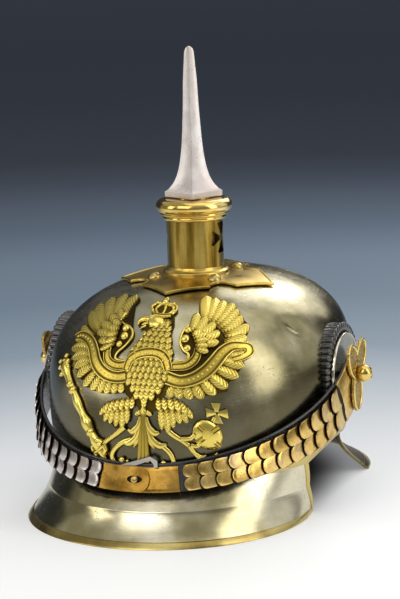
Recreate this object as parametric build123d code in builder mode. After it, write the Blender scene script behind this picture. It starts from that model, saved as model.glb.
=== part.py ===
from build123d import *
import os
from math import asin, ceil, cos, radians, sin, sqrt

# Spiked parade helmet of polished steel with brass mounts, standing on its front and neck peaks.
# The front looks along -Y, the wearer's left is +X, and the origin is on the floor under the middle.
# All lengths are in millimetres. Heights are above the floor, and plan distances are from the
# spike's own axis, which stands spike_y away from the origin.

# Overall reach of the rims, from the spike's axis
front_reach = 145.0
rear_reach = 165.0
spike_y = (front_reach - rear_reach) / 2

# Running fits, seats and cuts
pin_fit = 0.05
bolt_fit = 0.1
seat_gap = 0.1
overrun = 10.0

# Steel skull, a dome whose front, sides and rear follow rounded curves of their own
skull_top = 156.0
skull_edge = 37.0
skull_wall = 1.2
side_reach = 103.6
side_widest = 88.6
side_power = 2.4
front_skull = 115.9
front_widest = 56.5
front_power = 2.63
rear_skull = 123.3
rear_widest = 111.5
rear_power = 2.77
tuck_depth = 60.0
tuck_share = 0.08
crown_cap = 0.4
crown_hole = 13.0
dome_sections = 12
ruled_sections = 8
section_power = 1.2
height_steps = 30

# Arches over the ears, cut up into the skull's lower edge
ear_front = 40.0
ear_rear = 46.0
ear_top = 47.0
band_height = 6.0
band_wall = 0.8

# Front peak: a collar, a sharp crease and a flare down to the rim
sheet_wall = 1.2
flange_height = 7.0
crease_height = 20.5
crease_front = 128.0
crease_side = 94.0
crease_centre = 20.0
rim_side = 98.0
rim_centre = 50.0
peak_shift = 5.0
flare_power = 1.3
flare_sections = 4
peak_corner_top = 38.0
peak_corner_bottom = 30.0

# Neck guard: a long curved sheet that flares out behind
guard_side = 95.5
guard_waist = 4.5
guard_centre = 80.0
guard_power = 1.25
guard_sections = 6
guard_corner_top = 42.0
guard_corner_bottom = 86.0

# Folded brass trims along the rims and edges of both peaks
trim_wall = 0.7
trim_height = 4.0

# Leather linings under both peaks
lining_wall = 0.8

# Rivets that hold the peaks to the skull
rivet_shank = 1.2
rivet_radius = 2.0
rivet_rise = 1.1
rivet_height = 40.5
rivet_angles = (-60, -30, 0, 30, 60)
rivet_clearance = 0.15
slope_step = 0.5

# Brass cross on the crown, with four pointed arms
base_gap = 0.9
base_wall = 1.2
arm_reach = 57.0
arm_shoulder_along = 39.0
arm_shoulder_across = 25.0
arm_hollow_along = 46.5
arm_hollow_across = 14.0
arm_waist = 27.0
arm_waist_along = 33.0
arm_waist_across = 24.6
stud_circle = 31.3
stud_radius = 4.8
stud_rise = 3.0
stud_shank = 1.6
nut_radius = 4.0
nut_height = 2.6

# Brass neck with a pierced cross on each side, its foot and its rolled collar
neck_radius = 19.5
neck_wall = 1.0
neck_top = 197.0
foot_spread = 3.6
foot_height = 4.6
foot_lip = 0.9
vent_height = 182.0
vent_reach = 10.5
vent_end = 5.4
vent_start = 2.4
collar_bottom = 194.6
collar_bead = 21.4
collar_bead_height = 197.8
collar_cove = 23.8
collar_cove_height = 199.6
collar_roll = 26.2
collar_roll_height = 203.9
collar_seat = 21.8
collar_top = 209.6
collar_wall = 2.0

# Threaded bush in the collar, and the spike's screw
bush_radius = 12.0
bush_flange = 15.0
bush_flange_height = 2.4
bush_height = 10.4
screw_radius = 4.0
screw_length = 26.0

# Square fluted spike. Its profile pairs a share of its height with a share of the plate's
# half diagonal, and the flute share is how far its hollow sides stand off the axis.
spike_angle = 19.0
spike_top = 312.7
plate_diagonal = 19.8
plate_hollow_share = 0.68
flute_share = 0.6
spike_profile_shares = (
    (0.042, 0.955), (0.052, 0.872), (0.067, 0.803), (0.086, 0.716), (0.110, 0.641),
    (0.140, 0.567), (0.178, 0.505), (0.222, 0.450), (0.275, 0.404), (0.335, 0.367),
    (0.411, 0.333), (0.585, 0.278), (0.780, 0.237), (0.960, 0.167), (0.983, 0.128),
    (0.995, 0.074), (1.0, 0.02),
)

# Heraldic eagle on the front, drawn on a plane that leans back, then laid on the dome.
# Its outlines are shares of half its span across, and of its rise upward.
eagle_lean = 28.0
eagle_front = 112.0
eagle_height = 98.0
eagle_span = 65.0
eagle_rise = 75.0
eagle_gap = 0.4
eagle_sheet = 1.0
eagle_relief = 1.0
eagle_depth = 75.0
orb_radius = 9.3
cross_bar = 3.2
cross_reach = 6.3
cross_stem = 7.2
orb_centre_share = (0.692, -0.320)
cross_centre_share = (0.772, -0.131)
crown_orb_radius = 2.6
crown_orb_share = (0.058, 0.930)
eagle_wing_right_shares = (
    (-0.308, 0.960), (-0.446, 0.973), (-0.600, 0.933), (-0.738, 0.853), (-0.792, 0.773),
    (-0.800, 0.607), (-0.877, 0.507), (-0.862, 0.373), (-0.754, 0.213), (-0.692, 0.093),
    (-0.446, -0.013), (-0.277, -0.027), (-0.092, -0.013), (-0.108, 0.160), (-0.131, 0.227),
    (-0.169, 0.267), (-0.277, 0.280), (-0.277, 0.333), (-0.185, 0.413), (-0.146, 0.507),
    (-0.215, 0.587), (-0.308, 0.680), (-0.346, 0.760),
)
eagle_wing_left_shares = (
    (0.431, 1.000), (0.677, 0.947), (0.754, 0.880), (0.923, 0.780), (0.938, 0.713), (1.015, 0.520),
    (0.985, 0.287), (0.892, 0.160), (0.892, 0.093), (0.715, 0.020), (0.685, -0.013),
    (0.523, -0.027), (0.277, -0.040), (0.308, 0.240), (0.338, 0.267), (0.415, 0.267),
    (0.477, 0.333), (0.369, 0.480), (0.385, 0.600), (0.438, 0.747), (0.492, 0.747), (0.392, 0.973),
)
eagle_body_shares = (
    (-0.015, 0.713), (-0.046, 0.660), (-0.123, 0.613), (-0.108, 0.580), (-0.015, 0.580),
    (0.015, 0.547), (0.023, 0.493), (-0.031, 0.400), (-0.085, 0.347), (-0.123, 0.273),
    (-0.138, 0.200), (-0.138, 0.067), (-0.108, -0.040), (0.000, -0.107), (0.077, -0.200),
    (0.215, -0.160), (0.292, -0.053), (0.331, 0.067), (0.346, 0.240), (0.315, 0.307),
    (0.277, 0.400), (0.262, 0.493), (0.262, 0.627), (0.231, 0.713),
)
eagle_crown_shares = (
    (-0.015, 0.693), (-0.085, 0.853), (-0.031, 0.907), (0.062, 0.927), (0.162, 0.900),
    (0.208, 0.827), (0.231, 0.693),
)
eagle_leg_right_shares = (
    (-0.077, 0.000), (-0.277, -0.067), (-0.400, -0.173), (-0.246, -0.360), (-0.115, -0.320),
    (-0.046, -0.147), (0.046, -0.093),
)
eagle_claw_right_shares = (
    (-0.246, -0.360), (-0.415, -0.340), (-0.508, -0.387), (-0.446, -0.460), (-0.385, -0.447),
    (-0.369, -0.533), (-0.315, -0.540), (-0.308, -0.440), (-0.092, -0.367), (-0.108, -0.307),
)
eagle_tail_shares = (
    (0.023, -0.133), (0.154, -0.133), (0.138, -0.293), (0.231, -0.320), (0.292, -0.413),
    (0.385, -0.493), (0.385, -0.560), (0.262, -0.533), (0.185, -0.453), (0.146, -0.560),
    (0.077, -0.607), (0.015, -0.560), (-0.046, -0.467), (-0.138, -0.580), (-0.231, -0.600),
    (-0.262, -0.493), (-0.138, -0.427), (-0.046, -0.320), (0.031, -0.293),
)
eagle_leg_left_shares = (
    (0.154, -0.120), (0.277, -0.013), (0.385, -0.053), (0.508, -0.087), (0.585, -0.147),
    (0.531, -0.227), (0.431, -0.233), (0.415, -0.307), (0.585, -0.380), (0.585, -0.447),
    (0.362, -0.353), (0.300, -0.320), (0.215, -0.187),
)
eagle_sceptre_shares = (
    (-1.023, 0.307), (-0.946, 0.353), (-0.877, 0.293), (-0.862, 0.240), (-0.785, 0.127),
    (-0.669, -0.040), (-0.523, -0.207), (-0.508, -0.267), (-0.423, -0.360), (-0.415, -0.440),
    (-0.308, -0.580), (-0.338, -0.607), (-0.500, -0.433), (-0.508, -0.367), (-0.615, -0.300),
    (-0.631, -0.227), (-0.738, -0.053), (-0.854, 0.120), (-0.954, 0.240),
)
post_across = 28.0
post_height = 104.0
post_radius = 1.6

# Side fittings on the chin scales' pivots
pivot_offset = 5.0
pivot_height = 90.0
cockade_outer = 34.5
cockade_inner = 27.8
cockade_face = 104.4
cockade_edge = 102.6
cockade_back = 88.0
flute_count = 40
flute_depth = 1.3
dish_back = 104.0
dish_wall = 0.9
dish_radius = 27.6
dish_lip = 106.2
dish_hub = 6.0
hub_clearance = 0.5
bolt_shank = 3.0
rosette_gap = 0.5
rosette_wall = 1.3
lobe_length = 14.6
lobe_width = 9.4
lobe_centre = 11.8
lobe_border = 1.8
lobe_relief = 0.9
rosette_hub = 8.5
lobe_angles = (50, 130, 270)
knob_radius = 6.0
knob_collar = 4.2
knob_height = 9.0
bolt_tail = 1.0
bolt_nut_radius = 6.5
bolt_nut_height = 3.0

# Chin scales, worn up over the front peak: two leather straps that pivot on the side fittings
strap_side = 110.9
strap_front = 128.0
strap_height = 41.0
strap_rise_shares = (0.8, 0.2)
strap_rise_powers = (2, 12)
strap_lean = 20.0
strap_wall = 1.6
strap_width_front = 18.0
strap_width_root = 36.0
strap_width_power = 2.2
strap_step = 5.0
strap_hole = 3.5
angle_step = 0.5
strap_nearest_share = 0.1
meeting_angle = 0.6

# Brass scales on the straps, each lapping the next with a free edge of two lobes. The left
# row ends further back than the right one, behind the hook plate.
scale_count = 12
scale_wall = 0.6
scale_side_gap = 0.7
scale_lift = 0.85
scale_first_angle = 80.5
scale_last_left = 17.5
scale_last_right = 11.6
scale_lap_share = 0.45
lobe_depth_share = 0.24
root_wall = 1.0
root_angle = 81.5

# Hook plate on the left strap and slotted tongue on the right one, where they meet
hook_wall = 0.8
hook_width = 16.0
hook_left = 31.0
hook_right = 8.0
tongue_wall = 1.1
tongue_root = 22.0
tongue_bend = 10.6
tongue_reach = 12.0
tongue_taper_share = 0.5
slot_half_length = 5.2
slot_height = 5.6
button_across = 2.0
button_radius = 1.8
button_head = 2.4
button_head_height = 1.0
tab_left = 17.0
tab_right = 10.0
tab_front = 120.5
tab_wall = 0.6
tab_width = 2.6
tab_low = 49.4
tab_high = 56.5
tab_peak = 12.0

# Leather lining inside the skull
sweatband_gap = 0.3
sweatband_wall = 1.8
sweatband_low = 48.0
sweatband_high = 76.0
finger_low = 71.0
finger_wall = 1.2
finger_drop = 22.0
finger_count = 10
finger_slot = 4.0
finger_slot_low = 86.0
finger_hole = 33.0
nut_clearance = 2.0
cord_inner = 34.5
cord_width = 2.2

os.makedirs("parts", exist_ok=True)


# Shared geometry

def level(height):
    """Horizontal plane at a height, centred on the spike's axis."""
    return Plane(origin=(0, spike_y, height))


def mix(start, end, share):
    """Value a share of the way from start to end."""
    return start + (end - start) * share


def reach_at(height, reach, widest, power, inset, drop):
    """Distance from the spike's axis to the dome on one side, at a height."""
    top = skull_top - inset - drop
    if height >= widest:
        rise_share = (height - widest) / (top - widest)
        return (reach - inset) * (1 - rise_share ** power) ** (1 / power)
    drop_share = (widest - height) / tuck_depth
    return reach - inset - reach * tuck_share * drop_share ** 2


def dome_outline(height, inset=0, drop=0):
    """Half width, half length and centre of the dome's oval outline at a height."""
    side = reach_at(height, side_reach, side_widest, side_power, inset, drop)
    front = reach_at(height, front_skull, front_widest, front_power, inset, drop)
    rear = reach_at(height, rear_skull, rear_widest, rear_power, inset, drop)
    return side, (front + rear) / 2, (rear - front) / 2


def dome_solid(inset=0, drop=0, ruled=False):
    """Solid that fills the dome, with its surface moved in by inset and its top by drop more."""
    top = skull_top - inset - drop - crown_cap
    sections = ruled_sections if ruled else dome_sections
    with BuildPart() as solid:
        for index in range(sections + 1):
            turn = radians(90 * (index / sections) ** section_power)
            height = mix(skull_edge, top, sin(turn))
            half_width, half_length, centre = dome_outline(height, inset, drop)
            with BuildSketch(level(height)):
                with Locations((0, centre)):
                    Ellipse(half_width, half_length)
        loft(ruled=ruled)
    return solid.part


def dome_skin(inset, wall, drop=0, ruled=False):
    """Skin of the dome with its outside moved in by inset."""
    return dome_solid(inset, drop, ruled) - dome_solid(inset + wall, drop, ruled)


def dome_height(across, along, inset=0, drop=0):
    """Height at which the dome passes over a point in plan, found by halving."""
    low = side_widest
    high = skull_top - inset - drop
    for _ in range(height_steps):
        height = (low + high) / 2
        half_width, half_length, centre = dome_outline(height, inset, drop)
        if (across / half_width) ** 2 + ((along - centre) / half_length) ** 2 < 1:
            low = height
        else:
            high = height
    return low


def oval_loft(outlines, ruled=False):
    """Loft through ovals, each a height, half width, half length and centre."""
    with BuildPart() as block:
        for height, half_width, half_length, across, along in outlines:
            with BuildSketch(level(height)):
                with Locations((across, along)):
                    Ellipse(half_width, half_length)
        loft(ruled=ruled)
    return block.part


def peak_block(grow=0):
    """Solid under the front peak's upper surface, with the surface moved out by grow."""
    half_width, half_length, centre = dome_outline(skull_edge, skull_wall + seat_gap)
    crease_length = crease_front - crease_centre
    rim_length = front_reach - trim_wall - rim_centre
    collar = (
        (skull_edge, half_width + grow, half_length + grow, 0, centre),
        (crease_height, crease_side + grow, crease_length + grow, -peak_shift / 2, -crease_centre),
    )
    flare = []
    for index in range(flare_sections + 1):
        fall_share = index / flare_sections
        spread = fall_share ** flare_power
        flare.append((
            mix(crease_height, 0, fall_share),
            mix(crease_side, rim_side - trim_wall, spread) + grow,
            mix(crease_length, rim_length, spread) + grow,
            mix(-peak_shift / 2, -peak_shift, spread),
            mix(-crease_centre, -rim_centre, spread),
        ))
    return oval_loft(collar, ruled=True) + oval_loft(flare)


def guard_block(grow=0):
    """Solid under the neck guard's upper surface, with the surface moved out by grow."""
    half_width, half_length, centre = dome_outline(skull_edge, skull_wall + seat_gap)
    rim_length = rear_reach - trim_wall - guard_centre
    outlines = []
    for index in range(guard_sections + 1):
        fall_share = index / guard_sections
        spread = fall_share ** guard_power
        waist = guard_waist * sin(radians(180 * fall_share))
        outlines.append((
            mix(skull_edge, 0, fall_share),
            mix(half_width, guard_side - trim_wall, fall_share) - waist + grow,
            mix(half_length, rim_length, spread) + grow,
            0,
            mix(centre, guard_centre, spread),
        ))
    return oval_loft(outlines)


def side_view():
    """Upright plane through the spike's axis, seen from the wearer's left."""
    return Plane(origin=(0, spike_y, 0), x_dir=(0, 1, 0), z_dir=(1, 0, 0))


def side_prism(points):
    """Prism through the whole width, with straight sides seen from the side."""
    with BuildPart() as prism:
        with BuildSketch(side_view()):
            with BuildLine():
                Polyline(*points, close=True)
            make_face()
        extrude(amount=side_reach + overrun, both=True)
    return prism.part


def peak_room(forward, low, top=skull_edge - seat_gap):
    """Room for the front peak, from a distance before its rear edge and above the floor."""
    far = -front_reach - overrun
    slant = (peak_corner_bottom - peak_corner_top) / skull_edge
    rear_top = -peak_corner_top - forward
    rear_low = -peak_corner_bottom - forward + slant * low
    return side_prism(((far, low), (rear_low, low), (rear_top, top), (far, top)))


def guard_room(backward, low, top=skull_edge - seat_gap):
    """Room for the neck guard, from a distance behind its front edge and above the floor."""
    far = rear_reach + overrun
    slant = (guard_corner_bottom - guard_corner_top) / skull_edge
    front_top = guard_corner_top + backward
    front_low = guard_corner_bottom + backward - slant * low
    return side_prism(((far, low), (front_low, low), (front_top, top), (far, top)))


def flange(from_y, to_y):
    """Upright flange of a peak inside the skull, between two places along the helmet."""
    ring = dome_skin(skull_wall + seat_gap, sheet_wall)
    high = skull_edge + flange_height
    return ring & side_prism(((from_y, 0), (to_y, 0), (to_y, high), (from_y, high)))


def below_edge(raise_by=0):
    """Room below the skull's lower edge, which arches over the ears, raised by a distance."""
    edge = skull_edge + raise_by
    with BuildPart() as room:
        with BuildSketch(side_view()):
            with BuildLine():
                Polyline((-ear_front, edge), (-rear_reach, edge), (-rear_reach, 0),
                         (rear_reach, 0), (rear_reach, edge), (ear_rear, edge))
                ThreePointArc((ear_rear, edge), ((ear_rear - ear_front) / 2, ear_top + raise_by),
                              (-ear_front, edge))
            make_face()
        extrude(amount=side_reach + overrun, both=True)
    return room.part


def slab(low, high):
    """Wide slab between two heights."""
    with BuildPart() as block:
        with BuildSketch(level(low)):
            Rectangle(2 * (side_reach + overrun), 2 * (rear_reach + overrun))
        extrude(amount=high - low)
    return block.part


def bar(place, radius, start, end):
    """Round bar along a plane's normal, between two distances from the plane."""
    with BuildPart() as rod:
        with BuildSketch(place.offset(start)):
            Circle(radius)
        extrude(amount=end - start)
    return rod.part


def hex_bar(place, radius, start, end):
    """Six-sided bar along a plane's normal, between two distances from the plane."""
    with BuildPart() as rod:
        with BuildSketch(place.offset(start)):
            RegularPolygon(radius, 6)
        extrude(amount=end - start)
    return rod.part


def cap_middle(radius, rise):
    """Middle of the arc of a round cap, from its rim to its top."""
    ball = (radius ** 2 + rise ** 2) / (2 * rise)
    half_turn = asin(radius / ball) / 2
    return ball * sin(half_turn), rise - ball + ball * cos(half_turn)


def domed_head(place, radius, rise, skirt):
    """Rivet head that swells over a plane, with a straight skirt below it."""
    with BuildPart() as head:
        with BuildSketch(Plane.XZ):
            with BuildLine():
                Polyline((0, rise), (0, -skirt), (radius, -skirt), (radius, 0))
                ThreePointArc((radius, 0), cap_middle(radius, rise), (0, rise))
            make_face()
        revolve(axis=Axis.Z)
    return head.part.moved(place.location)


def wall_place(angle, height):
    """Plane that touches the dome at a height, turned round from the front."""
    across = sin(radians(angle))
    along = -cos(radians(angle))
    half_width, half_length, centre = dome_outline(height)
    low_width, low_length, low_centre = dome_outline(height - slope_step)
    widening = (half_width - low_width) / slope_step
    lengthening = ((half_length - low_length) * along + centre - low_centre) / slope_step
    return Plane(
        origin=(half_width * across, spike_y + centre + half_length * along, height),
        z_dir=(half_length * across, half_width * along,
               -half_length * widening * across ** 2 - half_width * lengthening * along),
    )


def pivot_place():
    """Plane across the left pivot, with its normal to the wearer's left."""
    return Plane(
        origin=(0, spike_y + pivot_offset, pivot_height), x_dir=(0, 1, 0), z_dir=(1, 0, 0)
    )


def mirrored(part):
    """The same piece on the other side of the helmet."""
    return mirror(part, about=Plane.YZ)


# Skull and its edge band

studs = []
for quarter in range(4):
    turn = radians(45 + 90 * quarter)
    studs.append((stud_circle * cos(turn), stud_circle * sin(turn)))

posts = []
post_width, post_length, post_centre = dome_outline(post_height)
post_along = post_centre - post_length * sqrt(1 - (post_across / post_width) ** 2)
for side in (-1, 1):
    posts.append(Plane(
        origin=(side * post_across, spike_y + post_along, post_height),
        x_dir=(1, 0, 0),
        z_dir=(0, -1, 0),
    ))

front_rivets = [wall_place(angle, rivet_height) for angle in rivet_angles]
rear_rivets = [wall_place(angle + 180, rivet_height) for angle in rivet_angles]
pivot = pivot_place()
bore_depth = 2 * overrun

crown_bores = [bar(level(skull_top), crown_hole, -overrun, overrun)]
for across, along in studs:
    place = Plane(origin=(across, spike_y + along, skull_top))
    crown_bores.append(bar(place, stud_shank + bolt_fit, -bore_depth, overrun))
post_bores = [bar(place, post_radius + bolt_fit, -bore_depth, overrun) for place in posts]
pivot_bore = bar(pivot, bolt_shank + bolt_fit, -side_reach - overrun, side_reach + overrun)
front_bores = [bar(place, rivet_shank + pin_fit, -overrun, overrun) for place in front_rivets]
rear_bores = [bar(place, rivet_shank + pin_fit, -overrun, overrun) for place in rear_rivets]

with BuildPart() as skull:
    add(dome_skin(0, skull_wall))
    add(below_edge(), mode=Mode.SUBTRACT)
    add(crown_bores + post_bores + [pivot_bore], mode=Mode.SUBTRACT)
    add(front_bores + rear_bores, mode=Mode.SUBTRACT)
skull.part.label = "skull"
export_step(skull.part, "parts/skull.step")

with BuildPart() as skull_band:
    add(dome_skin(-seat_gap - band_wall, band_wall))
    add(below_edge(band_height), mode=Mode.INTERSECT)
    add(below_edge(), mode=Mode.SUBTRACT)
    add(front_bores + rear_bores, mode=Mode.SUBTRACT)
skull_band.part.label = "skull_band"
export_step(skull_band.part, "parts/skull_band.step")


# Front peak with its folded trim and lining

with BuildPart() as front_visor:
    add(peak_block())
    add(peak_block(-sheet_wall), mode=Mode.SUBTRACT)
    add(peak_room(trim_wall + seat_gap, trim_wall + seat_gap, skull_edge), mode=Mode.INTERSECT)
    add(flange(-front_reach, -peak_corner_top))
    add(front_bores, mode=Mode.SUBTRACT)
front_visor.part.label = "front_visor"
export_step(front_visor.part, "parts/front_visor.step")

trim_inside = -sheet_wall - seat_gap - trim_wall
with BuildPart() as visor_trim:
    add(peak_block(trim_wall))
    add(peak_block(trim_inside), mode=Mode.SUBTRACT)
    add(peak_room(0, 0), mode=Mode.INTERSECT)
    add(peak_room(trim_height, trim_height), mode=Mode.SUBTRACT)
    add((peak_block(seat_gap) - peak_block(-sheet_wall - seat_gap))
        & peak_room(trim_wall, trim_wall), mode=Mode.SUBTRACT)
visor_trim.part.label = "visor_trim"
export_step(visor_trim.part, "parts/visor_trim.step")

lining_start = trim_height + seat_gap
with BuildPart() as visor_lining:
    add(peak_block(-sheet_wall - seat_gap))
    add(peak_block(-sheet_wall - seat_gap - lining_wall), mode=Mode.SUBTRACT)
    add(peak_room(lining_start, lining_start), mode=Mode.INTERSECT)
visor_lining.part.label = "visor_lining"
export_step(visor_lining.part, "parts/visor_lining.step")


# Neck guard with its folded trim and lining

with BuildPart() as neck_guard:
    add(guard_block())
    add(guard_block(-sheet_wall), mode=Mode.SUBTRACT)
    add(guard_room(trim_wall + seat_gap, trim_wall + seat_gap, skull_edge), mode=Mode.INTERSECT)
    add(flange(guard_corner_top, rear_reach))
    add(rear_bores, mode=Mode.SUBTRACT)
neck_guard.part.label = "neck_guard"
export_step(neck_guard.part, "parts/neck_guard.step")

with BuildPart() as neck_guard_trim:
    add(guard_block(trim_wall))
    add(guard_block(trim_inside), mode=Mode.SUBTRACT)
    add(guard_room(0, 0), mode=Mode.INTERSECT)
    add(guard_room(trim_height, trim_height), mode=Mode.SUBTRACT)
    add((guard_block(seat_gap) - guard_block(-sheet_wall - seat_gap))
        & guard_room(trim_wall, trim_wall), mode=Mode.SUBTRACT)
neck_guard_trim.part.label = "neck_guard_trim"
export_step(neck_guard_trim.part, "parts/neck_guard_trim.step")

with BuildPart() as neck_guard_lining:
    add(guard_block(-sheet_wall - seat_gap))
    add(guard_block(-sheet_wall - seat_gap - lining_wall), mode=Mode.SUBTRACT)
    add(guard_room(lining_start, lining_start), mode=Mode.INTERSECT)
neck_guard_lining.part.label = "neck_guard_lining"
export_step(neck_guard_lining.part, "parts/neck_guard_lining.step")


# Rivets through the band, the skull and the peaks' flanges

rivet_seat = band_wall + 2 * seat_gap + rivet_clearance
rivet_tail = skull_wall + seat_gap + sheet_wall + seat_gap + rivet_clearance


def rivet(place):
    """Rivet with a domed head outside the band and a flat one inside the flange."""
    head = domed_head(place.offset(rivet_seat), rivet_radius, rivet_rise, seat_gap / 2)
    shank = bar(place, rivet_shank, -rivet_tail - rivet_shank, rivet_seat)
    tail = bar(place, rivet_radius, -rivet_tail - rivet_shank, -rivet_tail)
    return head + shank + tail


with BuildPart() as visor_rivets:
    for place in front_rivets:
        add(rivet(place))
visor_rivets.part.label = "visor_rivets"
export_step(visor_rivets.part, "parts/visor_rivets.step")

with BuildPart() as neck_guard_rivets:
    for place in rear_rivets:
        add(rivet(place))
neck_guard_rivets.part.label = "neck_guard_rivets"
export_step(neck_guard_rivets.part, "parts/neck_guard_rivets.step")


# Cross base on the crown, with its four studs and their nuts

arm_edge = (
    (0, arm_reach),
    (arm_hollow_across, arm_hollow_along),
    (arm_shoulder_across, arm_shoulder_along),
    (arm_waist_across, arm_waist_along),
    (arm_waist, arm_waist),
)
base_out = base_gap + base_wall

with BuildPart() as cross_base:
    add(dome_skin(-base_out, base_wall))
    with BuildSketch(level(skull_top - stud_circle)):
        for quarter in range(4):
            for side in (0, 1):
                with BuildLine():
                    edge = []
                    for across, along in arm_edge:
                        if side:
                            across = -across
                        turn = radians(90 * quarter)
                        edge.append((across * cos(turn) - along * sin(turn),
                                     across * sin(turn) + along * cos(turn)))
                    ThreePointArc(edge[0], edge[1], edge[2])
                    ThreePointArc(edge[2], edge[3], edge[4])
                    Polyline(edge[4], (0, 0), edge[0])
                make_face()
    extrude(amount=2 * stud_circle, mode=Mode.INTERSECT)
    add(crown_bores, mode=Mode.SUBTRACT)
cross_base.part.label = "cross_base"
export_step(cross_base.part, "parts/cross_base.step")

base_top = dome_solid(-base_out - seat_gap)
inner_dome = dome_solid(skull_wall + seat_gap)

with BuildPart() as base_studs:
    for across, along in studs:
        top = dome_height(across, along, -base_out)
        place = Plane(origin=(across, spike_y + along, top))
        head = domed_head(place, stud_radius, stud_rise, stud_radius) - base_top
        shank_end = -base_out - skull_wall - nut_height - stud_shank
        add(head)
        add(bar(place, stud_shank, shank_end, stud_rise / 2))
base_studs.part.label = "base_studs"
export_step(base_studs.part, "parts/base_studs.step")

with BuildPart() as base_nuts:
    for across, along in studs:
        top = dome_height(across, along, skull_wall)
        place = Plane(origin=(across, spike_y + along, top))
        nut = hex_bar(place, nut_radius, -nut_height, nut_radius) & inner_dome
        add(nut - bar(place, stud_shank + pin_fit, -bore_depth, overrun))
base_nuts.part.label = "base_nuts"
export_step(base_nuts.part, "parts/base_nuts.step")


# Neck: pierced tube, foot ring, rolled collar and threaded bush

base_level = skull_top + base_out - crown_cap
tube_bottom = base_level + seat_gap

with BuildPart() as neck_tube:
    with BuildSketch(level(tube_bottom)):
        Circle(neck_radius)
        Circle(neck_radius - neck_wall, mode=Mode.SUBTRACT)
    extrude(amount=neck_top - tube_bottom)
    with BuildSketch(Plane(origin=(0, spike_y, vent_height), x_dir=(0, 1, 0), z_dir=(1, 0, 0))):
        for quarter in range(4):
            with BuildLine():
                petal = []
                for along, across in ((vent_start, 0), (vent_reach, vent_end),
                                      (vent_reach, -vent_end)):
                    turn = radians(90 * quarter)
                    petal.append((along * cos(turn) - across * sin(turn),
                                  along * sin(turn) + across * cos(turn)))
                Polyline(*petal, close=True)
            make_face()
    extrude(amount=neck_radius + overrun, both=True, mode=Mode.SUBTRACT)
neck_tube.part.label = "neck_tube"
export_step(neck_tube.part, "parts/neck_tube.step")

foot_inner = neck_radius + seat_gap
foot_outer = neck_radius + foot_spread
foot_top = tube_bottom + foot_height

with BuildPart() as neck_foot_ring:
    with BuildSketch(Plane(origin=(0, spike_y, 0), x_dir=(1, 0, 0), z_dir=(0, -1, 0))):
        with BuildLine():
            Polyline((foot_inner, foot_top), (foot_inner, tube_bottom - overrun),
                     (foot_outer, tube_bottom - overrun), (foot_outer, tube_bottom + foot_lip))
            ThreePointArc(
                (foot_outer, tube_bottom + foot_lip),
                (mix(foot_inner, foot_outer, 0.35), mix(tube_bottom, foot_top, 0.42)),
                (foot_inner + seat_gap, foot_top),
            )
            Line((foot_inner + seat_gap, foot_top), (foot_inner, foot_top))
        make_face()
    revolve(axis=Axis((0, spike_y, 0), (0, 0, 1)))
    add(base_top, mode=Mode.SUBTRACT)
neck_foot_ring.part.label = "neck_foot_ring"
export_step(neck_foot_ring.part, "parts/neck_foot_ring.step")

with BuildPart() as neck_collar:
    with BuildSketch(Plane(origin=(0, spike_y, 0), x_dir=(1, 0, 0), z_dir=(0, -1, 0))):
        with BuildLine():
            rim_top = collar_top - seat_gap
            bore = bush_radius + seat_gap
            Line((foot_inner, collar_bottom), (collar_bead, collar_bottom))
            ThreePointArc(
                (collar_bead, collar_bottom),
                (mix(collar_bead, collar_cove, 0.35), mix(collar_bottom, collar_bead_height, 0.5)),
                (collar_bead, collar_bead_height),
            )
            Polyline((collar_bead, collar_bead_height), (collar_cove, collar_bead_height),
                     (collar_cove, collar_cove_height))
            ThreePointArc((collar_cove, collar_cove_height), (collar_roll, collar_roll_height),
                          (collar_seat, rim_top))
            Polyline(
                (collar_seat, rim_top), (bore, rim_top), (bore, rim_top - collar_wall),
                (foot_inner - neck_wall, rim_top - collar_wall),
                (foot_inner - neck_wall, neck_top + seat_gap),
                (foot_inner, neck_top + seat_gap), (foot_inner, collar_bottom),
            )
        make_face()
    revolve(axis=Axis((0, spike_y, 0), (0, 0, 1)))
neck_collar.part.label = "neck_collar"
export_step(neck_collar.part, "parts/neck_collar.step")

flange_top = collar_top - collar_wall - 2 * seat_gap
with BuildPart() as spike_bush:
    add(bar(level(collar_top), bush_radius, -bush_height, 0))
    add(bar(level(flange_top), bush_flange, -bush_flange_height, 0))
    add(bar(level(collar_top), screw_radius + pin_fit, -bush_height, 0), mode=Mode.SUBTRACT)
spike_bush.part.label = "spike_bush"
export_step(spike_bush.part, "parts/spike_bush.step")


# Spike and the screw that it turns on

screw_bottom = collar_top - bush_height - neck_wall
with BuildPart() as spike_screw:
    add(bar(level(screw_bottom), screw_radius, 0, screw_length))
spike_screw.part.label = "spike_screw"
export_step(spike_screw.part, "parts/spike_screw.step")

spike_bottom = collar_top + seat_gap
spike_length = spike_top - spike_bottom


def fluted_square(height, diagonal, hollow_share):
    """Square face with hollow sides, at a height up the spike."""
    corners = []
    hollows = []
    for quarter in range(4):
        turn = radians(spike_angle + 90 * quarter)
        corners.append((diagonal * cos(turn), diagonal * sin(turn)))
        turn = radians(spike_angle + 90 * quarter + 45)
        hollow = diagonal * hollow_share
        hollows.append((hollow * cos(turn), hollow * sin(turn)))
    with BuildSketch(level(height)) as square:
        with BuildLine():
            for quarter in range(4):
                ThreePointArc(corners[quarter], hollows[quarter], corners[(quarter + 1) % 4])
        make_face()
    return square.sketch.face()


with BuildPart() as spike:
    extrude(fluted_square(spike_bottom, plate_diagonal, plate_hollow_share),
            amount=spike_length * spike_profile_shares[0][0])
    loft([fluted_square(spike_bottom + spike_length * height_share,
                        plate_diagonal * width_share, flute_share)
          for height_share, width_share in spike_profile_shares], ruled=True)
    add(bar(level(screw_bottom), screw_radius + pin_fit, 0, screw_length + seat_gap),
        mode=Mode.SUBTRACT)
spike.part.label = "spike"
export_step(spike.part, "parts/spike.step")


# Eagle on the front, cut through the dome's skin, with two screwed posts

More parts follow.
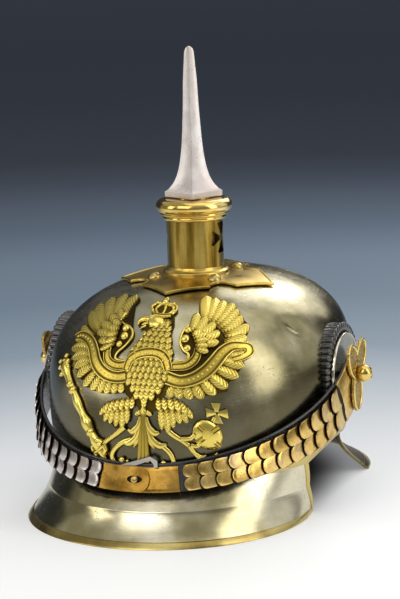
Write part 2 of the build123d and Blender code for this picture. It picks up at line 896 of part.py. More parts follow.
eagle_plane = Plane(
    origin=(0, spike_y - eagle_front, eagle_height),
    x_dir=(1, 0, 0),
    z_dir=(0, -cos(radians(eagle_lean)), sin(radians(eagle_lean))),
)


def eagle_point(share):
    """Place on the eagle's plane, from shares of its span and rise."""
    return share[0] * eagle_span, share[1] * eagle_rise


def eagle_shape(share_tables):
    """Prism of several outlines, square to the eagle's plane."""
    with BuildPart() as prism:
        with BuildSketch(eagle_plane.offset(-eagle_depth)):
            for shares in share_tables:
                with BuildLine():
                    Polyline(*[eagle_point(share) for share in shares], close=True)
                make_face()
        extrude(amount=2 * eagle_depth)
    return prism.part


def orb_shape():
    """Prism of the orb, its cross and the small orb on the crown."""
    with BuildPart() as prism:
        with BuildSketch(eagle_plane.offset(-eagle_depth)):
            with Locations(eagle_point(orb_centre_share)):
                Circle(orb_radius)
            with Locations(eagle_point(cross_centre_share)):
                Rectangle(2 * cross_reach, cross_bar)
                Rectangle(cross_bar, 2 * cross_stem)
            with Locations(eagle_point(crown_orb_share)):
                Circle(crown_orb_radius)
        extrude(amount=2 * eagle_depth)
    return prism.part


flat_outlines = (
    eagle_wing_right_shares, eagle_wing_left_shares, eagle_body_shares, eagle_crown_shares,
    eagle_leg_right_shares, eagle_claw_right_shares, eagle_tail_shares, eagle_leg_left_shares,
    eagle_sceptre_shares,
)
raised_outlines = (eagle_body_shares, eagle_crown_shares)

with BuildPart() as eagle_plate:
    add(dome_skin(-eagle_gap - eagle_sheet, eagle_sheet))
    add(eagle_shape(flat_outlines) + orb_shape(), mode=Mode.INTERSECT)
    add(dome_skin(-eagle_gap - eagle_sheet - eagle_relief, eagle_sheet + eagle_relief)
        & eagle_shape(raised_outlines))
eagle_plate.part.label = "eagle_plate"
export_step(eagle_plate.part, "parts/eagle_plate.step")

post_tail = skull_wall + nut_radius + nut_height + bolt_tail
with BuildPart() as eagle_posts:
    for place in posts:
        add(bar(place, post_radius, -post_tail, overrun) & dome_solid(-eagle_gap))
eagle_posts.part.label = "eagle_posts"
export_step(eagle_posts.part, "parts/eagle_posts.step")

with BuildPart() as eagle_nuts:
    for place in posts:
        nut = hex_bar(place, nut_radius, -nut_radius - nut_height, overrun) & inner_dome
        add(nut - bar(place, post_radius + pin_fit, -bore_depth, overrun))
eagle_nuts.part.label = "eagle_nuts"
export_step(eagle_nuts.part, "parts/eagle_nuts.step")


# Side fittings: fluted cockade, dished rim, trefoil rosette, bolt and nut

outer_dome = dome_solid(-seat_gap)
leather_out = strap_side
hub_face = leather_out - strap_wall - hub_clearance
root_out = leather_out + seat_gap + root_wall
rosette_back = root_out + rosette_gap
rosette_face = rosette_back + rosette_wall

with BuildPart() as cockade_left:
    with BuildSketch(Plane(origin=pivot.origin, x_dir=(1, 0, 0), z_dir=(0, -1, 0))):
        with BuildLine():
            Polyline(
                (cockade_back, cockade_inner), (cockade_edge, cockade_inner),
                (cockade_face, mix(cockade_inner, cockade_outer, 0.3)),
                (cockade_face, mix(cockade_inner, cockade_outer, 0.7)),
                (cockade_edge, cockade_outer), (cockade_back, cockade_outer), close=True,
            )
        make_face()
    revolve(axis=Axis(pivot.origin, (1, 0, 0)))
    with BuildSketch(pivot.offset(cockade_edge - flute_depth)):
        with PolarLocations(0, flute_count):
            with BuildLine():
                half_turn = radians(180 / flute_count)
                rim = cockade_outer + overrun
                Polyline((rim * cos(half_turn), -rim * sin(half_turn)),
                         (cockade_outer - flute_depth, 0),
                         (rim * cos(half_turn), rim * sin(half_turn)), close=True)
            make_face()
    extrude(amount=cockade_face, both=True, mode=Mode.SUBTRACT)
    add(outer_dome, mode=Mode.SUBTRACT)
cockade_left.part.label = "cockade_left"
export_step(cockade_left.part, "parts/cockade_left.step")

with BuildPart() as cockade_right:
    add(mirrored(cockade_left.part))
cockade_right.part.label = "cockade_right"
export_step(cockade_right.part, "parts/cockade_right.step")

with BuildPart() as cockade_rim_left:
    add(bar(pivot, dish_radius, dish_back, dish_lip))
    add(bar(pivot, dish_radius - dish_wall, dish_back + dish_wall, dish_lip),
        mode=Mode.SUBTRACT)
    add(bar(pivot, dish_hub, dish_back, hub_face))
    add(bar(pivot, bolt_shank + bolt_fit, dish_back, hub_face), mode=Mode.SUBTRACT)
cockade_rim_left.part.label = "cockade_rim_left"
export_step(cockade_rim_left.part, "parts/cockade_rim_left.step")

with BuildPart() as cockade_rim_right:
    add(mirrored(cockade_rim_left.part))
cockade_rim_right.part.label = "cockade_rim_right"
export_step(cockade_rim_right.part, "parts/cockade_rim_right.step")

with BuildPart() as rosette_left:
    with BuildSketch(pivot.offset(rosette_back)):
        Circle(rosette_hub)
        for angle in lobe_angles:
            with Locations(Rotation(0, 0, angle) * Location((lobe_centre, 0, 0))):
                Ellipse(lobe_length, lobe_width)
    extrude(amount=rosette_wall)
    with BuildSketch(pivot.offset(rosette_face)):
        for angle in lobe_angles:
            with Locations(Rotation(0, 0, angle) * Location((lobe_centre, 0, 0))):
                Ellipse(lobe_length, lobe_width)
                Ellipse(lobe_length - lobe_border, lobe_width - lobe_border, mode=Mode.SUBTRACT)
        Circle(rosette_hub)
    extrude(amount=lobe_relief)
    add(bar(pivot, bolt_shank + bolt_fit, rosette_back, rosette_face + overrun),
        mode=Mode.SUBTRACT)
rosette_left.part.label = "rosette_left"
export_step(rosette_left.part, "parts/rosette_left.step")

with BuildPart() as rosette_right:
    add(mirrored(rosette_left.part))
rosette_right.part.label = "rosette_right"
export_step(rosette_right.part, "parts/rosette_right.step")

nut_face = side_reach - skull_wall - bolt_nut_height
bolt_end = nut_face - bolt_tail
knob_seat = rosette_face + lobe_relief + seat_gap
knob_top = knob_seat + knob_height

with BuildPart() as rosette_bolt_left:
    with BuildSketch(Plane(origin=pivot.origin, x_dir=(1, 0, 0), z_dir=(0, -1, 0))):
        with BuildLine():
            lip = mix(knob_seat, knob_top, 0.45)
            cap_across, cap_up = cap_middle(knob_radius, knob_top - lip)
            Polyline((knob_top, 0), (bolt_end, 0), (bolt_end, bolt_shank),
                     (knob_seat, bolt_shank), (knob_seat, knob_collar), (lip, knob_radius))
            ThreePointArc((lip, knob_radius), (lip + cap_up, cap_across), (knob_top, 0))
        make_face()
    revolve(axis=Axis(pivot.origin, (1, 0, 0)))
rosette_bolt_left.part.label = "rosette_bolt_left"
export_step(rosette_bolt_left.part, "parts/rosette_bolt_left.step")

with BuildPart() as rosette_bolt_right:
    add(mirrored(rosette_bolt_left.part))
rosette_bolt_right.part.label = "rosette_bolt_right"
export_step(rosette_bolt_right.part, "parts/rosette_bolt_right.step")

with BuildPart() as rosette_nut_left:
    add(hex_bar(pivot, bolt_nut_radius, nut_face, side_reach) & inner_dome)
    add(bar(pivot, bolt_shank + pin_fit, nut_face - overrun, side_reach), mode=Mode.SUBTRACT)
rosette_nut_left.part.label = "rosette_nut_left"
export_step(rosette_nut_left.part, "parts/rosette_nut_left.step")

with BuildPart() as rosette_nut_right:
    add(mirrored(rosette_nut_left.part))
rosette_nut_right.part.label = "rosette_nut_right"
export_step(rosette_nut_right.part, "parts/rosette_nut_right.step")


# Chin straps: a path round the front, from the middle (0) to the left pivot (90 degrees)

def strap_point(angle):
    """Point of the strap's outer face at an angle round the helmet."""
    turn = radians(angle)
    part_way = abs(angle) / 90
    rise = 0
    for share, power in zip(strap_rise_shares, strap_rise_powers):
        rise += share * part_way ** power
    return Vector(
        strap_side * sin(turn),
        spike_y + pivot_offset - strap_front * cos(turn),
        mix(strap_height, pivot_height, rise),
    )


def strap_place(angle, out=0):
    """Plane across the strap at an angle, with X up the strap and Y outward."""
    point = strap_point(angle)
    along = (strap_point(angle + angle_step) - strap_point(angle - angle_step)).normalized()
    turn = radians(angle)
    outward = Vector(strap_front * sin(turn), -strap_side * cos(turn), 0).normalized()
    lean = radians(strap_lean * cos(turn) ** 2)
    outward = outward * cos(lean) + Vector(0, 0, 1) * sin(lean)
    outward = (outward - along * outward.dot(along)).normalized()
    return Plane(origin=point + outward * out, x_dir=outward.cross(along), z_dir=along)


def strap_width(angle):
    """Width of the leather at an angle round the helmet."""
    part_way = abs(angle) / 90
    return mix(strap_width_front, strap_width_root, part_way ** strap_width_power)


def strap_angles(start, end):
    """Angles of a ribbon's sections: its ends, and every whole step between them."""
    angles = [start]
    step = ceil(start / strap_step + strap_nearest_share)
    while step * strap_step < end - strap_nearest_share * strap_step:
        angles.append(step * strap_step)
        step += 1
    return angles + [end]


def ribbon(start, end, inner, outer, widths=None):
    """Ribbon along the strap between two angles and two depths, as wide as the strap or less."""
    angles = strap_angles(start, end)
    with BuildPart() as strip:
        for angle in angles:
            width = strap_width(angle)
            if widths:
                width = mix(widths[0], widths[1], (angle - start) / (end - start))
            with BuildSketch(strap_place(angle)):
                with Locations((0, (inner + outer) / 2)):
                    Rectangle(width, outer - inner)
        loft(ruled=True)
    return strip.part


def strap_end(inner, outer):
    """Round end of the strap beyond the pivot, between two depths."""
    root = strap_place(90)
    half = strap_width_root / 2
    face = Plane(origin=root.origin + root.y_dir * inner, x_dir=root.z_dir, z_dir=root.y_dir)
    with BuildPart() as end:
        with BuildSketch(face):
            with BuildLine():
                ThreePointArc((0, half), (half, 0), (0, -half))
                Line((0, -half), (0, half))
            make_face()
        extrude(amount=outer - inner)
    return end.part


with BuildPart() as strap_leather_left:
    add(ribbon(meeting_angle, 90, -strap_wall, 0))
    add(strap_end(-strap_wall, 0))
    add(bar(pivot, strap_hole, hub_face, root_out), mode=Mode.SUBTRACT)
strap_leather_left.part.label = "strap_leather_left"
export_step(strap_leather_left.part, "parts/strap_leather_left.step")

with BuildPart() as strap_leather_right:
    add(mirrored(strap_leather_left.part))
strap_leather_right.part.label = "strap_leather_right"
export_step(strap_leather_right.part, "parts/strap_leather_right.step")

with BuildPart() as strap_root_left:
    add(ribbon(root_angle, 90, seat_gap, seat_gap + root_wall))
    add(strap_end(seat_gap, seat_gap + root_wall))
    add(bar(pivot, bolt_shank + pin_fit, hub_face, root_out + overrun), mode=Mode.SUBTRACT)
strap_root_left.part.label = "strap_root_left"
export_step(strap_root_left.part, "parts/strap_root_left.step")

with BuildPart() as strap_root_right:
    add(mirrored(strap_root_left.part))
strap_root_right.part.label = "strap_root_right"
export_step(strap_root_right.part, "parts/strap_root_right.step")

def scale(angle, turn):
    """Brass scale whose root lies on the strap at an angle, a turn away from the next one's."""
    root = strap_place(angle, seat_gap)
    tip = strap_place(angle - turn, seat_gap + scale_wall + scale_lift)
    along = tip.origin - root.origin
    step = along.length
    outward = (root.y_dir - along * (root.y_dir.dot(along) / step ** 2)).normalized()
    length = step * (1 + scale_lap_share)
    half = (strap_width(angle) + strap_width(angle - turn)) / 4 - scale_side_gap
    neck = length - half * 2 * lobe_depth_share
    with BuildPart() as plate:
        with BuildSketch(Plane(origin=root.origin, x_dir=along, z_dir=outward)):
            with BuildLine():
                Polyline((neck, half), (0, half), (0, -half), (neck, -half))
                ThreePointArc((neck, -half), (length, -half / 2), (neck, 0))
                ThreePointArc((neck, 0), (length, half / 2), (neck, half))
            make_face()
        extrude(amount=scale_wall)
    return plate.part


def scale_row(last_angle):
    """Row of scales on the left strap, from its pivot to the free edge of the last."""
    turn = (scale_first_angle - last_angle) / (scale_count + scale_lap_share)
    with BuildPart() as row:
        for index in range(scale_count):
            add(scale(scale_first_angle - index * turn, turn))
    return row.part


with BuildPart() as chin_scales_left:
    add(scale_row(scale_last_left))
chin_scales_left.part.label = "chin_scales_left"
export_step(chin_scales_left.part, "parts/chin_scales_left.step")

with BuildPart() as chin_scales_right:
    add(mirrored(scale_row(scale_last_right)))
chin_scales_right.part.label = "chin_scales_right"
export_step(chin_scales_right.part, "parts/chin_scales_right.step")


# Where the straps meet: hook plate, button and steel tab on the left, slotted tongue on the right

def front_angle(across):
    """Angle round the helmet of a place across the front."""
    return across / radians(1) / strap_side


hook_face = seat_gap + hook_wall
tongue_back = hook_face + 2 * seat_gap
tongue_face = tongue_back + tongue_wall

with BuildPart() as hook_plate:
    add(ribbon(front_angle(-hook_right), front_angle(hook_left), seat_gap, hook_face,
               (hook_width, hook_width)))
hook_plate.part.label = "hook_plate"
export_step(hook_plate.part, "parts/hook_plate.step")

button_place = strap_place(front_angle(button_across))
front_place = Plane(origin=button_place.origin, x_dir=(1, 0, 0), z_dir=button_place.y_dir)

with BuildPart() as hook_button:
    add(bar(front_place, button_radius, hook_face, tongue_face + seat_gap))
    add(bar(front_place, button_head, tongue_face + seat_gap,
            tongue_face + seat_gap + button_head_height))
hook_button.part.label = "hook_button"
export_step(hook_button.part, "parts/hook_button.step")

slot_end = button_across + slot_half_length
with BuildPart() as hook_tongue:
    add(ribbon(front_angle(-tongue_bend), front_angle(slot_end), tongue_back,
               tongue_face, (hook_width, hook_width)))
    add(ribbon(front_angle(slot_end), front_angle(tongue_reach), tongue_back,
               tongue_face, (hook_width, hook_width * tongue_taper_share)))
    add(ribbon(front_angle(-tongue_root), front_angle(-tongue_bend), seat_gap, tongue_face,
               (hook_width, hook_width)))
    with BuildSketch(front_place):
        SlotOverall(2 * slot_half_length, slot_height)
    extrude(amount=overrun, mode=Mode.SUBTRACT)
hook_tongue.part.label = "hook_tongue"
export_step(hook_tongue.part, "parts/hook_tongue.step")

with BuildPart() as strap_tab:
    with BuildSketch(Plane(origin=(0, spike_y - tab_front, 0), x_dir=(1, 0, 0),
                           z_dir=(0, -1, 0))):
        with BuildLine():
            Polyline(
                (-tab_right, tab_low), (tab_peak, tab_high), (tab_left, tab_high - tab_width),
                (tab_left, tab_low), (tab_left - tab_width, tab_low),
                (tab_left - tab_width, tab_high - 2 * tab_width),
                (tab_peak, tab_high - tab_width), (0, tab_low), close=True,
            )
        make_face()
    extrude(amount=tab_wall)
strap_tab.part.label = "strap_tab"
export_step(strap_tab.part, "parts/strap_tab.step")


# Leather lining: sweatband, its fingers and the cord that draws them together

with BuildPart() as sweatband:
    add(dome_skin(skull_wall + sweatband_gap, sweatband_wall))
    add(slab(sweatband_low, sweatband_high), mode=Mode.INTERSECT)
sweatband.part.label = "sweatband"
export_step(sweatband.part, "parts/sweatband.step")

bolt_reach = side_reach + overrun
finger_inset = skull_wall + sweatband_gap + sweatband_wall + seat_gap

with BuildPart() as liner_fingers:
    add(dome_skin(finger_inset, finger_wall, finger_drop, ruled=True))
    add(slab(finger_low, skull_top), mode=Mode.INTERSECT)
    with BuildSketch(level(finger_slot_low)):
        Circle(finger_hole)
        with PolarLocations(0, finger_count, start_angle=90 / finger_count):
            with Locations((side_reach, 0)):
                Rectangle(2 * side_reach, finger_slot)
    extrude(amount=skull_top, mode=Mode.SUBTRACT)
    add([bar(place, nut_radius + nut_clearance, -eagle_depth, overrun) for place in posts]
        + [bar(pivot, bolt_nut_radius + nut_clearance, -bolt_reach, bolt_reach)],
        mode=Mode.SUBTRACT)
liner_fingers.part.label = "liner_fingers"
export_step(liner_fingers.part, "parts/liner_fingers.step")

with BuildPart() as liner_cord:
    add(dome_skin(finger_inset + finger_wall + seat_gap, cord_width, finger_drop, ruled=True))
    with BuildSketch(level(finger_slot_low)):
        Circle(cord_inner + cord_width)
        Circle(cord_inner, mode=Mode.SUBTRACT)
    extrude(amount=skull_top, mode=Mode.INTERSECT)
liner_cord.part.label = "liner_cord"
export_step(liner_cord.part, "parts/liner_cord.step")
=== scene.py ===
from math import asin, atan2, cos, exp, hypot, pi, radians, sin, sqrt, tau

import bmesh
import bpy
from mathutils import Matrix, Vector


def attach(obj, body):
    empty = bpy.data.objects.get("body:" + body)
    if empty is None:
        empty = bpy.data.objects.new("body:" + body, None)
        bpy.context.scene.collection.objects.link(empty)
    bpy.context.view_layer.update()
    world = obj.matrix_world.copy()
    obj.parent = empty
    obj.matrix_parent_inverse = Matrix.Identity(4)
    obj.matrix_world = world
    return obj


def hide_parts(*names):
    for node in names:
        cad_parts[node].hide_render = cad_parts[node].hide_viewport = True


# Looks of the spiked parade helmet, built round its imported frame.
# Shapes are worked out in millimetres from the spike's own axis, with the front along -Y and
# heights above the floor. settle() moves them to the frame's place and to metres.

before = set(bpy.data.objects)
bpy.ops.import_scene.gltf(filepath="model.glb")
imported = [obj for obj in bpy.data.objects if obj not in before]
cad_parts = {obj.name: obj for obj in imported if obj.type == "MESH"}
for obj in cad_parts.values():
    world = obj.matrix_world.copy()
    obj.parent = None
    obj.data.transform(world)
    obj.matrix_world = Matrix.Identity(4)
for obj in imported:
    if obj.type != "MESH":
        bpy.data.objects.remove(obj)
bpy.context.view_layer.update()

MM = 0.001
SPIKE_Y = -10.0
GAP = 0.1

# The skull's dome: (reach, height where it is widest, power of its curve) on each side
TOP = 156.0
EDGE = 37.0
SIDE = (103.6, 88.6, 2.4)
FRONT = (115.9, 56.5, 2.63)
REAR = (123.3, 111.5, 2.77)
SKULL_WALL = 1.2
TUCK_DEPTH = 60.0
TUCK_SHARE = 0.08
EAR_MIDDLE = 3.0
EAR_HALF = 43.0
EAR_RISE = 10.0
EAR_BALL = (EAR_HALF ** 2 + EAR_RISE ** 2) / (2 * EAR_RISE)
CROWN_HOLE = 13.0

# The chin strap's plane, in metres: its height where y is 0, and its slope towards the front
STRAP_PIVOT = 0.0912
STRAP_SLOPE = 0.231


# Shader maths

class Signal:
    """One socket's value in a finish. Arithmetic on it adds Math nodes."""

    def __init__(self, finish, socket):
        self.finish = finish
        self.socket = socket

    def maths(self, operation, first, second=0.0, clamp=False):
        return self.finish.node("ShaderNodeMath", {"operation": operation, "use_clamp": clamp},
                                {0: first, 1: second})

    def __add__(self, other):
        return self.maths("ADD", self, other)

    def __radd__(self, other):
        return self.maths("ADD", other, self)

    def __sub__(self, other):
        return self.maths("SUBTRACT", self, other)

    def __rsub__(self, other):
        return self.maths("SUBTRACT", other, self)

    def __mul__(self, other):
        return self.maths("MULTIPLY", self, other)

    def __rmul__(self, other):
        return self.maths("MULTIPLY", other, self)

    def __pow__(self, other):
        return self.maths("POWER", self, other)

    def clamped(self):
        return self.maths("ADD", self, 0.0, clamp=True)

    def step(self, low, high):
        """0 below low and 1 above high, with a smooth rise between them."""
        return self.finish.node("ShaderNodeMapRange", {"interpolation_type": "SMOOTHSTEP"},
                                {"Value": self, "From Min": low, "From Max": high})


class Finish:
    """One material. The words after its name set the shader's own sockets."""

    def __init__(self, name, **settings):
        self.material = bpy.data.materials.new(name)
        self.material.use_nodes = True
        self.tree = self.material.node_tree
        self.shader = self.tree.nodes["Principled BSDF"]
        self.place = self.node("ShaderNodeTexCoord", {}, {}, "Object")
        for words, value in settings.items():
            self.shader.inputs[words.replace("_", " ")].default_value = value

    def node(self, kind, settings, inputs, output=0):
        """Adds a node, with its settings first and then its sockets' values or links."""
        made = self.tree.nodes.new(kind)
        for words, value in settings.items():
            if words == "stops":
                ramp = made.color_ramp.elements
                while len(ramp) < len(value):
                    ramp.new(0.5)
                for stop, (position, colour) in zip(ramp, value):
                    stop.position = position
                    stop.color = (*colour, 1.0)
            else:
                setattr(made, words, value)
        for words, value in inputs.items():
            socket = made.inputs[words]
            if isinstance(value, Signal):
                self.tree.links.new(value.socket, socket)
            else:
                socket.default_value = value
        return Signal(self, made.outputs[output])

    def stretched(self, across, along, up, turn=(0, 0, 0)):
        """The object's coordinates, scaled along each axis."""
        return self.node("ShaderNodeMapping", {}, {
            "Vector": self.place, "Scale": (across, along, up), "Rotation": turn})

    def clouds(self, scale, detail=3.0, rough=0.55, where=None):
        """Soft noise from 0 to 1, at a number of cells to the metre."""
        return self.node("ShaderNodeTexNoise", {}, {
            "Vector": where or self.place, "Scale": scale, "Detail": detail, "Roughness": rough})

    def spots(self, scale, low, high):
        """Round specks: 1 inside a speck and 0 outside it."""
        cell = self.node("ShaderNodeTexVoronoi", {}, {"Vector": self.place, "Scale": scale},
                         "Distance")
        return 1 - cell.step(low, high)

    def attribute(self, name, axis):
        """One number of the piece's own attribute."""
        value = self.node("ShaderNodeAttribute", {"attribute_name": name}, {}, "Vector")
        return self.node("ShaderNodeSeparateXYZ", {}, {0: value}, axis)

    def colours(self, share, *stops):
        """A colour picked by a share from evenly spaced colours."""
        last = len(stops) - 1
        table = [(index / last, colour) for index, colour in enumerate(stops)]
        return self.node("ShaderNodeValToRGB", {"stops": table}, {0: share})

    def blend(self, share, first, second):
        """A mix of two colours."""
        made = self.node("ShaderNodeMix", {"data_type": "RGBA"}, {
            0: share,
            6: first if isinstance(first, Signal) else (*first, 1.0),
            7: second if isinstance(second, Signal) else (*second, 1.0),
        }, 2)
        return made

    def waves(self, phase):
        """A wave from 0 to 1 along a phase in radians."""
        return self.node("ShaderNodeMath", {"operation": "SINE"}, {0: phase}) * 0.5 + 0.5

    def size(self, value):
        """The value without its sign."""
        return self.node("ShaderNodeMath", {"operation": "ABSOLUTE"}, {0: value})

    def axis(self, name):
        """One of the object's coordinates, in metres."""
        return self.node("ShaderNodeSeparateXYZ", {}, {0: self.place}, name)

    def vector(self, operation, *inputs):
        """The number that a Vector Math node makes of its inputs."""
        return self.node("ShaderNodeVectorMath", {"operation": operation},
                         dict(enumerate(inputs)), "Value")

    def above_strap(self):
        """Height in metres above the plane of the chin strap, level behind its bolts."""
        height, along = self.axis("Z"), self.axis("Y")
        return height - STRAP_PIVOT - along.maths("MINIMUM", along, 0.0) * STRAP_SLOPE

    def coat(self, colour=None, roughness=None, height=None, depth=0.1):
        """Links what varies to the shader. The depth of a bump is in millimetres."""
        if colour:
            self.tree.links.new(colour.socket, self.shader.inputs["Base Color"])
        if roughness:
            self.tree.links.new(roughness.socket, self.shader.inputs["Roughness"])
        if height:
            normal = self.node("ShaderNodeBump", {}, {
                "Height": height, "Distance": depth * MM, "Strength": 1.0})
            self.tree.links.new(normal.socket, self.shader.inputs["Normal"])
        return self.material


def polished(name, dark, middle, light, rough=(0.16, 0.34), waves=0.25, grime=(0.1, 0.08, 0.05),
             spots=0.35, strap_shaded=False):
    """A polished old metal: clouded colour, fine scratches, waves in the sheet and dark specks,
    with painted shade below the chin strap where asked.
    """
    finish = Finish(name, Metallic=1.0)
    clouds = finish.clouds(14.0, 4.0) * 0.7 + finish.clouds(50.0, 4.0) * 0.3
    fine = finish.clouds(220.0, 3.0)
    scratches = finish.clouds(260.0, 2.0, where=finish.stretched(0.25, 0.25, 3.0, (0.5, 0.3, 0.8)))
    specks = finish.spots(420.0, 0.10, 0.22) * finish.clouds(30.0, 2.0).step(0.52, 0.66)
    colour = finish.colours(clouds.step(0.38, 0.62) * 0.8 + fine * 0.2, dark, middle, light)
    colour = finish.blend((specks * spots).clamped(), colour, grime)
    # Painted shade: the steel is darkened along and below the chin strap's plane, for the strap's
    # shadow and its dark reflection.
    if strap_shaded:
        above = finish.above_strap()
        colour = finish.blend((1 - above.step(0.012, 0.03)) * 0.8, colour, (0.05, 0.042, 0.02))
    roughness = (rough[0] + clouds.step(0.3, 0.8) * (rough[1] - rough[0])
                 + (scratches - 0.5) * 0.12 + specks * 0.2)
    height = finish.clouds(22.0, 1.0) * waves + scratches * 0.02 - specks * 0.05
    return finish.coat(colour, roughness, height, 1.0)


# Finishes

def tarnished_brass(name, gap, *stops):
    """Tarnished brass with a bloom, and painted shade with grime where each scale lies under the
    one before it, as on the chin scales.
    """
    finish = Finish(name, Metallic=1.0)
    bloom = finish.clouds(60.0, 4.0)
    fine = finish.clouds(300.0, 3.0)
    along = finish.clouds(90.0, 2.0, where=finish.stretched(1.0, 1.0, 0.3))
    colour = finish.colours(bloom.step(0.3, 0.7) * 0.75 + fine * 0.25, *stops)
    # Painted shade, with grime: dark where the attribute is below the gap, on each scale's lapped
    # root, underside and side edges, and in the slot over the hook button.
    worn = finish.attribute("wear", "X").step(gap - 0.03, gap + 0.03)
    colour = finish.blend((1 - worn).clamped(), colour, (0.03, 0.02, 0.014))
    specks = finish.spots(500.0, 0.12, 0.25) * finish.clouds(40.0, 1.0).step(0.5, 0.7)
    colour = finish.blend((specks * 0.6).clamped(), colour, (0.09, 0.05, 0.03))
    roughness = 0.24 + bloom.step(0.4, 0.8) * 0.18 + specks * 0.2 + (1 - worn) * 0.3
    return finish.coat(colour, roughness, along * 0.12 + fine * 0.03 - specks * 0.05, 1.0)


def spike_steel():
    """Silvery steel with a pink and mauve bloom, browned at the top and foot."""
    finish = Finish("spike_steel", Metallic=0.3)
    bloom = finish.clouds(34.0, 4.0)
    fine = finish.clouds(400.0, 3.0)
    height = finish.axis("Z")
    brown = (1 - height.step(0.2085, 0.222)) * 0.5 + height.step(0.285, 0.312) * 0.35
    colour = finish.colours(bloom.step(0.3, 0.7) * 0.8 + fine * 0.2, (0.66, 0.57, 0.54),
                            (0.93, 0.87, 0.84), (0.98, 0.97, 0.96))
    colour = finish.blend((brown * bloom.step(0.35, 0.6)).clamped(), colour, (0.27, 0.13, 0.06))
    specks = finish.spots(520.0, 0.12, 0.26) * finish.clouds(50.0, 1.0).step(0.5, 0.66)
    colour = finish.blend((specks * 0.7).clamped(), colour, (0.12, 0.06, 0.035))
    roughness = 0.26 + bloom * 0.2 + specks * 0.25
    return finish.coat(colour, roughness, fine * 0.05 + bloom * 0.3 - specks * 0.08, 1.0)


def streaked_brass():
    """Browned brass of the neck, with dark streaks up and down it."""
    finish = Finish("streaked_brass", Metallic=1.0)
    streaks = finish.clouds(150.0, 3.0, where=finish.stretched(1.0, 1.0, 0.07))
    fine = finish.clouds(300.0, 3.0)
    colour = finish.colours(streaks.step(0.34, 0.66) * 0.85 + fine * 0.15, (0.13, 0.07, 0.008),
                            (0.34, 0.22, 0.035), (0.62, 0.45, 0.12))
    return finish.coat(colour, 0.18 + fine * 0.14, streaks * 0.15 + fine * 0.03, 1.0)


def stamped_brass():
    """Gilt of the stamped eagle: bright on its ridges and olive brown in its hollows."""
    finish = Finish("stamped_brass", Metallic=1.0)
    relief = finish.attribute("relief", "Z")
    length = finish.attribute("relief", "X")
    width = finish.attribute("relief", "Y")
    fine = finish.clouds(450.0, 3.0)
    clouds = finish.clouds(45.0, 3.0)
    barbs = finish.waves(length * 2.9 + finish.size(width) * 2.6)
    grime = (1 - relief.step(0.1, 1.9)) * 0.95 + (clouds - 0.45) * 0.4 + (0.5 - barbs) * 0.34
    colour = finish.colours(grime.clamped(), (0.84, 0.67, 0.16), (0.60, 0.45, 0.075),
                            (0.20, 0.13, 0.018), (0.04, 0.024, 0.006))
    roughness = 0.20 + clouds * 0.12 + grime.clamped() * 0.3
    return finish.coat(colour, roughness, barbs * 0.22 + fine * 0.05, 1.0)


def granular_brass():
    """Gilt trefoil with a granular ground inside its borders."""
    finish = Finish("granular_brass", Metallic=1.0)
    relief = finish.attribute("relief", "Z")
    clouds = finish.clouds(60.0, 3.0)
    grains = finish.spots(900.0, 0.2, 0.5)
    ground = 1 - relief.step(0.2, 0.7)
    colour = finish.colours(((1 - grains) * ground * 0.8 + (clouds - 0.4) * 0.5).clamped(),
                            (0.90, 0.70, 0.24), (0.66, 0.46, 0.12), (0.20, 0.11, 0.03))
    roughness = 0.18 + ground * 0.14 + clouds * 0.08
    return finish.coat(colour, roughness, grains * ground * 0.22 + clouds * 0.1, 1.0)


def glossy_black():
    """Black paint over the cockade's pleats, worn to dull metal on a few crests."""
    finish = Finish("glossy_black", Metallic=0.0, Coat_Weight=1.0, Coat_Roughness=0.05)
    clouds = finish.clouds(90.0, 3.0)
    worn = finish.clouds(240.0, 4.0).step(0.66, 0.74) * 0.5
    colour = finish.colours((clouds * 0.5 + worn).clamped(), (0.006, 0.006, 0.007),
                            (0.03, 0.028, 0.026), (0.16, 0.15, 0.13))
    roughness = 0.14 + clouds * 0.12
    return finish.coat(colour, roughness, finish.clouds(300.0, 2.0) * 0.04, 1.0)


def leather(name, dark, middle, light, grain=520.0, rough=0.42, coat=0.0, depth=0.14):
    """Leather with its own grain, creases and worn patches."""
    finish = Finish(name, Coat_Weight=coat, Coat_Roughness=0.2)
    clouds = finish.clouds(24.0, 5.0)
    pores = finish.node("ShaderNodeTexVoronoi", {"feature": "DISTANCE_TO_EDGE"},
                        {"Vector": finish.place, "Scale": grain}, "Distance").step(0.0, 0.22)
    creases = finish.clouds(110.0, 4.0, where=finish.stretched(1.0, 1.0, 2.2))
    colour = finish.colours(clouds.step(0.3, 0.7) * 0.7 + pores * 0.2 + creases * 0.1,
                            dark, middle, light)
    roughness = rough + (clouds - 0.5) * 0.2 - pores * 0.06
    return finish.coat(colour, roughness, pores * 0.6 + creases * 0.6, depth)


def cotton():
    """Undyed cotton cord."""
    finish = Finish("cotton", Sheen_Weight=0.3)
    clouds = finish.clouds(120.0, 3.0)
    fibres = finish.clouds(1500.0, 2.0)
    colour = finish.colours(clouds, (0.30, 0.24, 0.15), (0.46, 0.39, 0.27), (0.58, 0.50, 0.37))
    return finish.coat(colour, 0.8 + clouds * 0.15, fibres * 0.5, 0.2)


STEEL = polished("polished_steel", (0.25, 0.22, 0.11), (0.41, 0.37, 0.23), (0.56, 0.52, 0.38),
                 rough=(0.19, 0.36), waves=0.5, spots=0.3, strap_shaded=True)
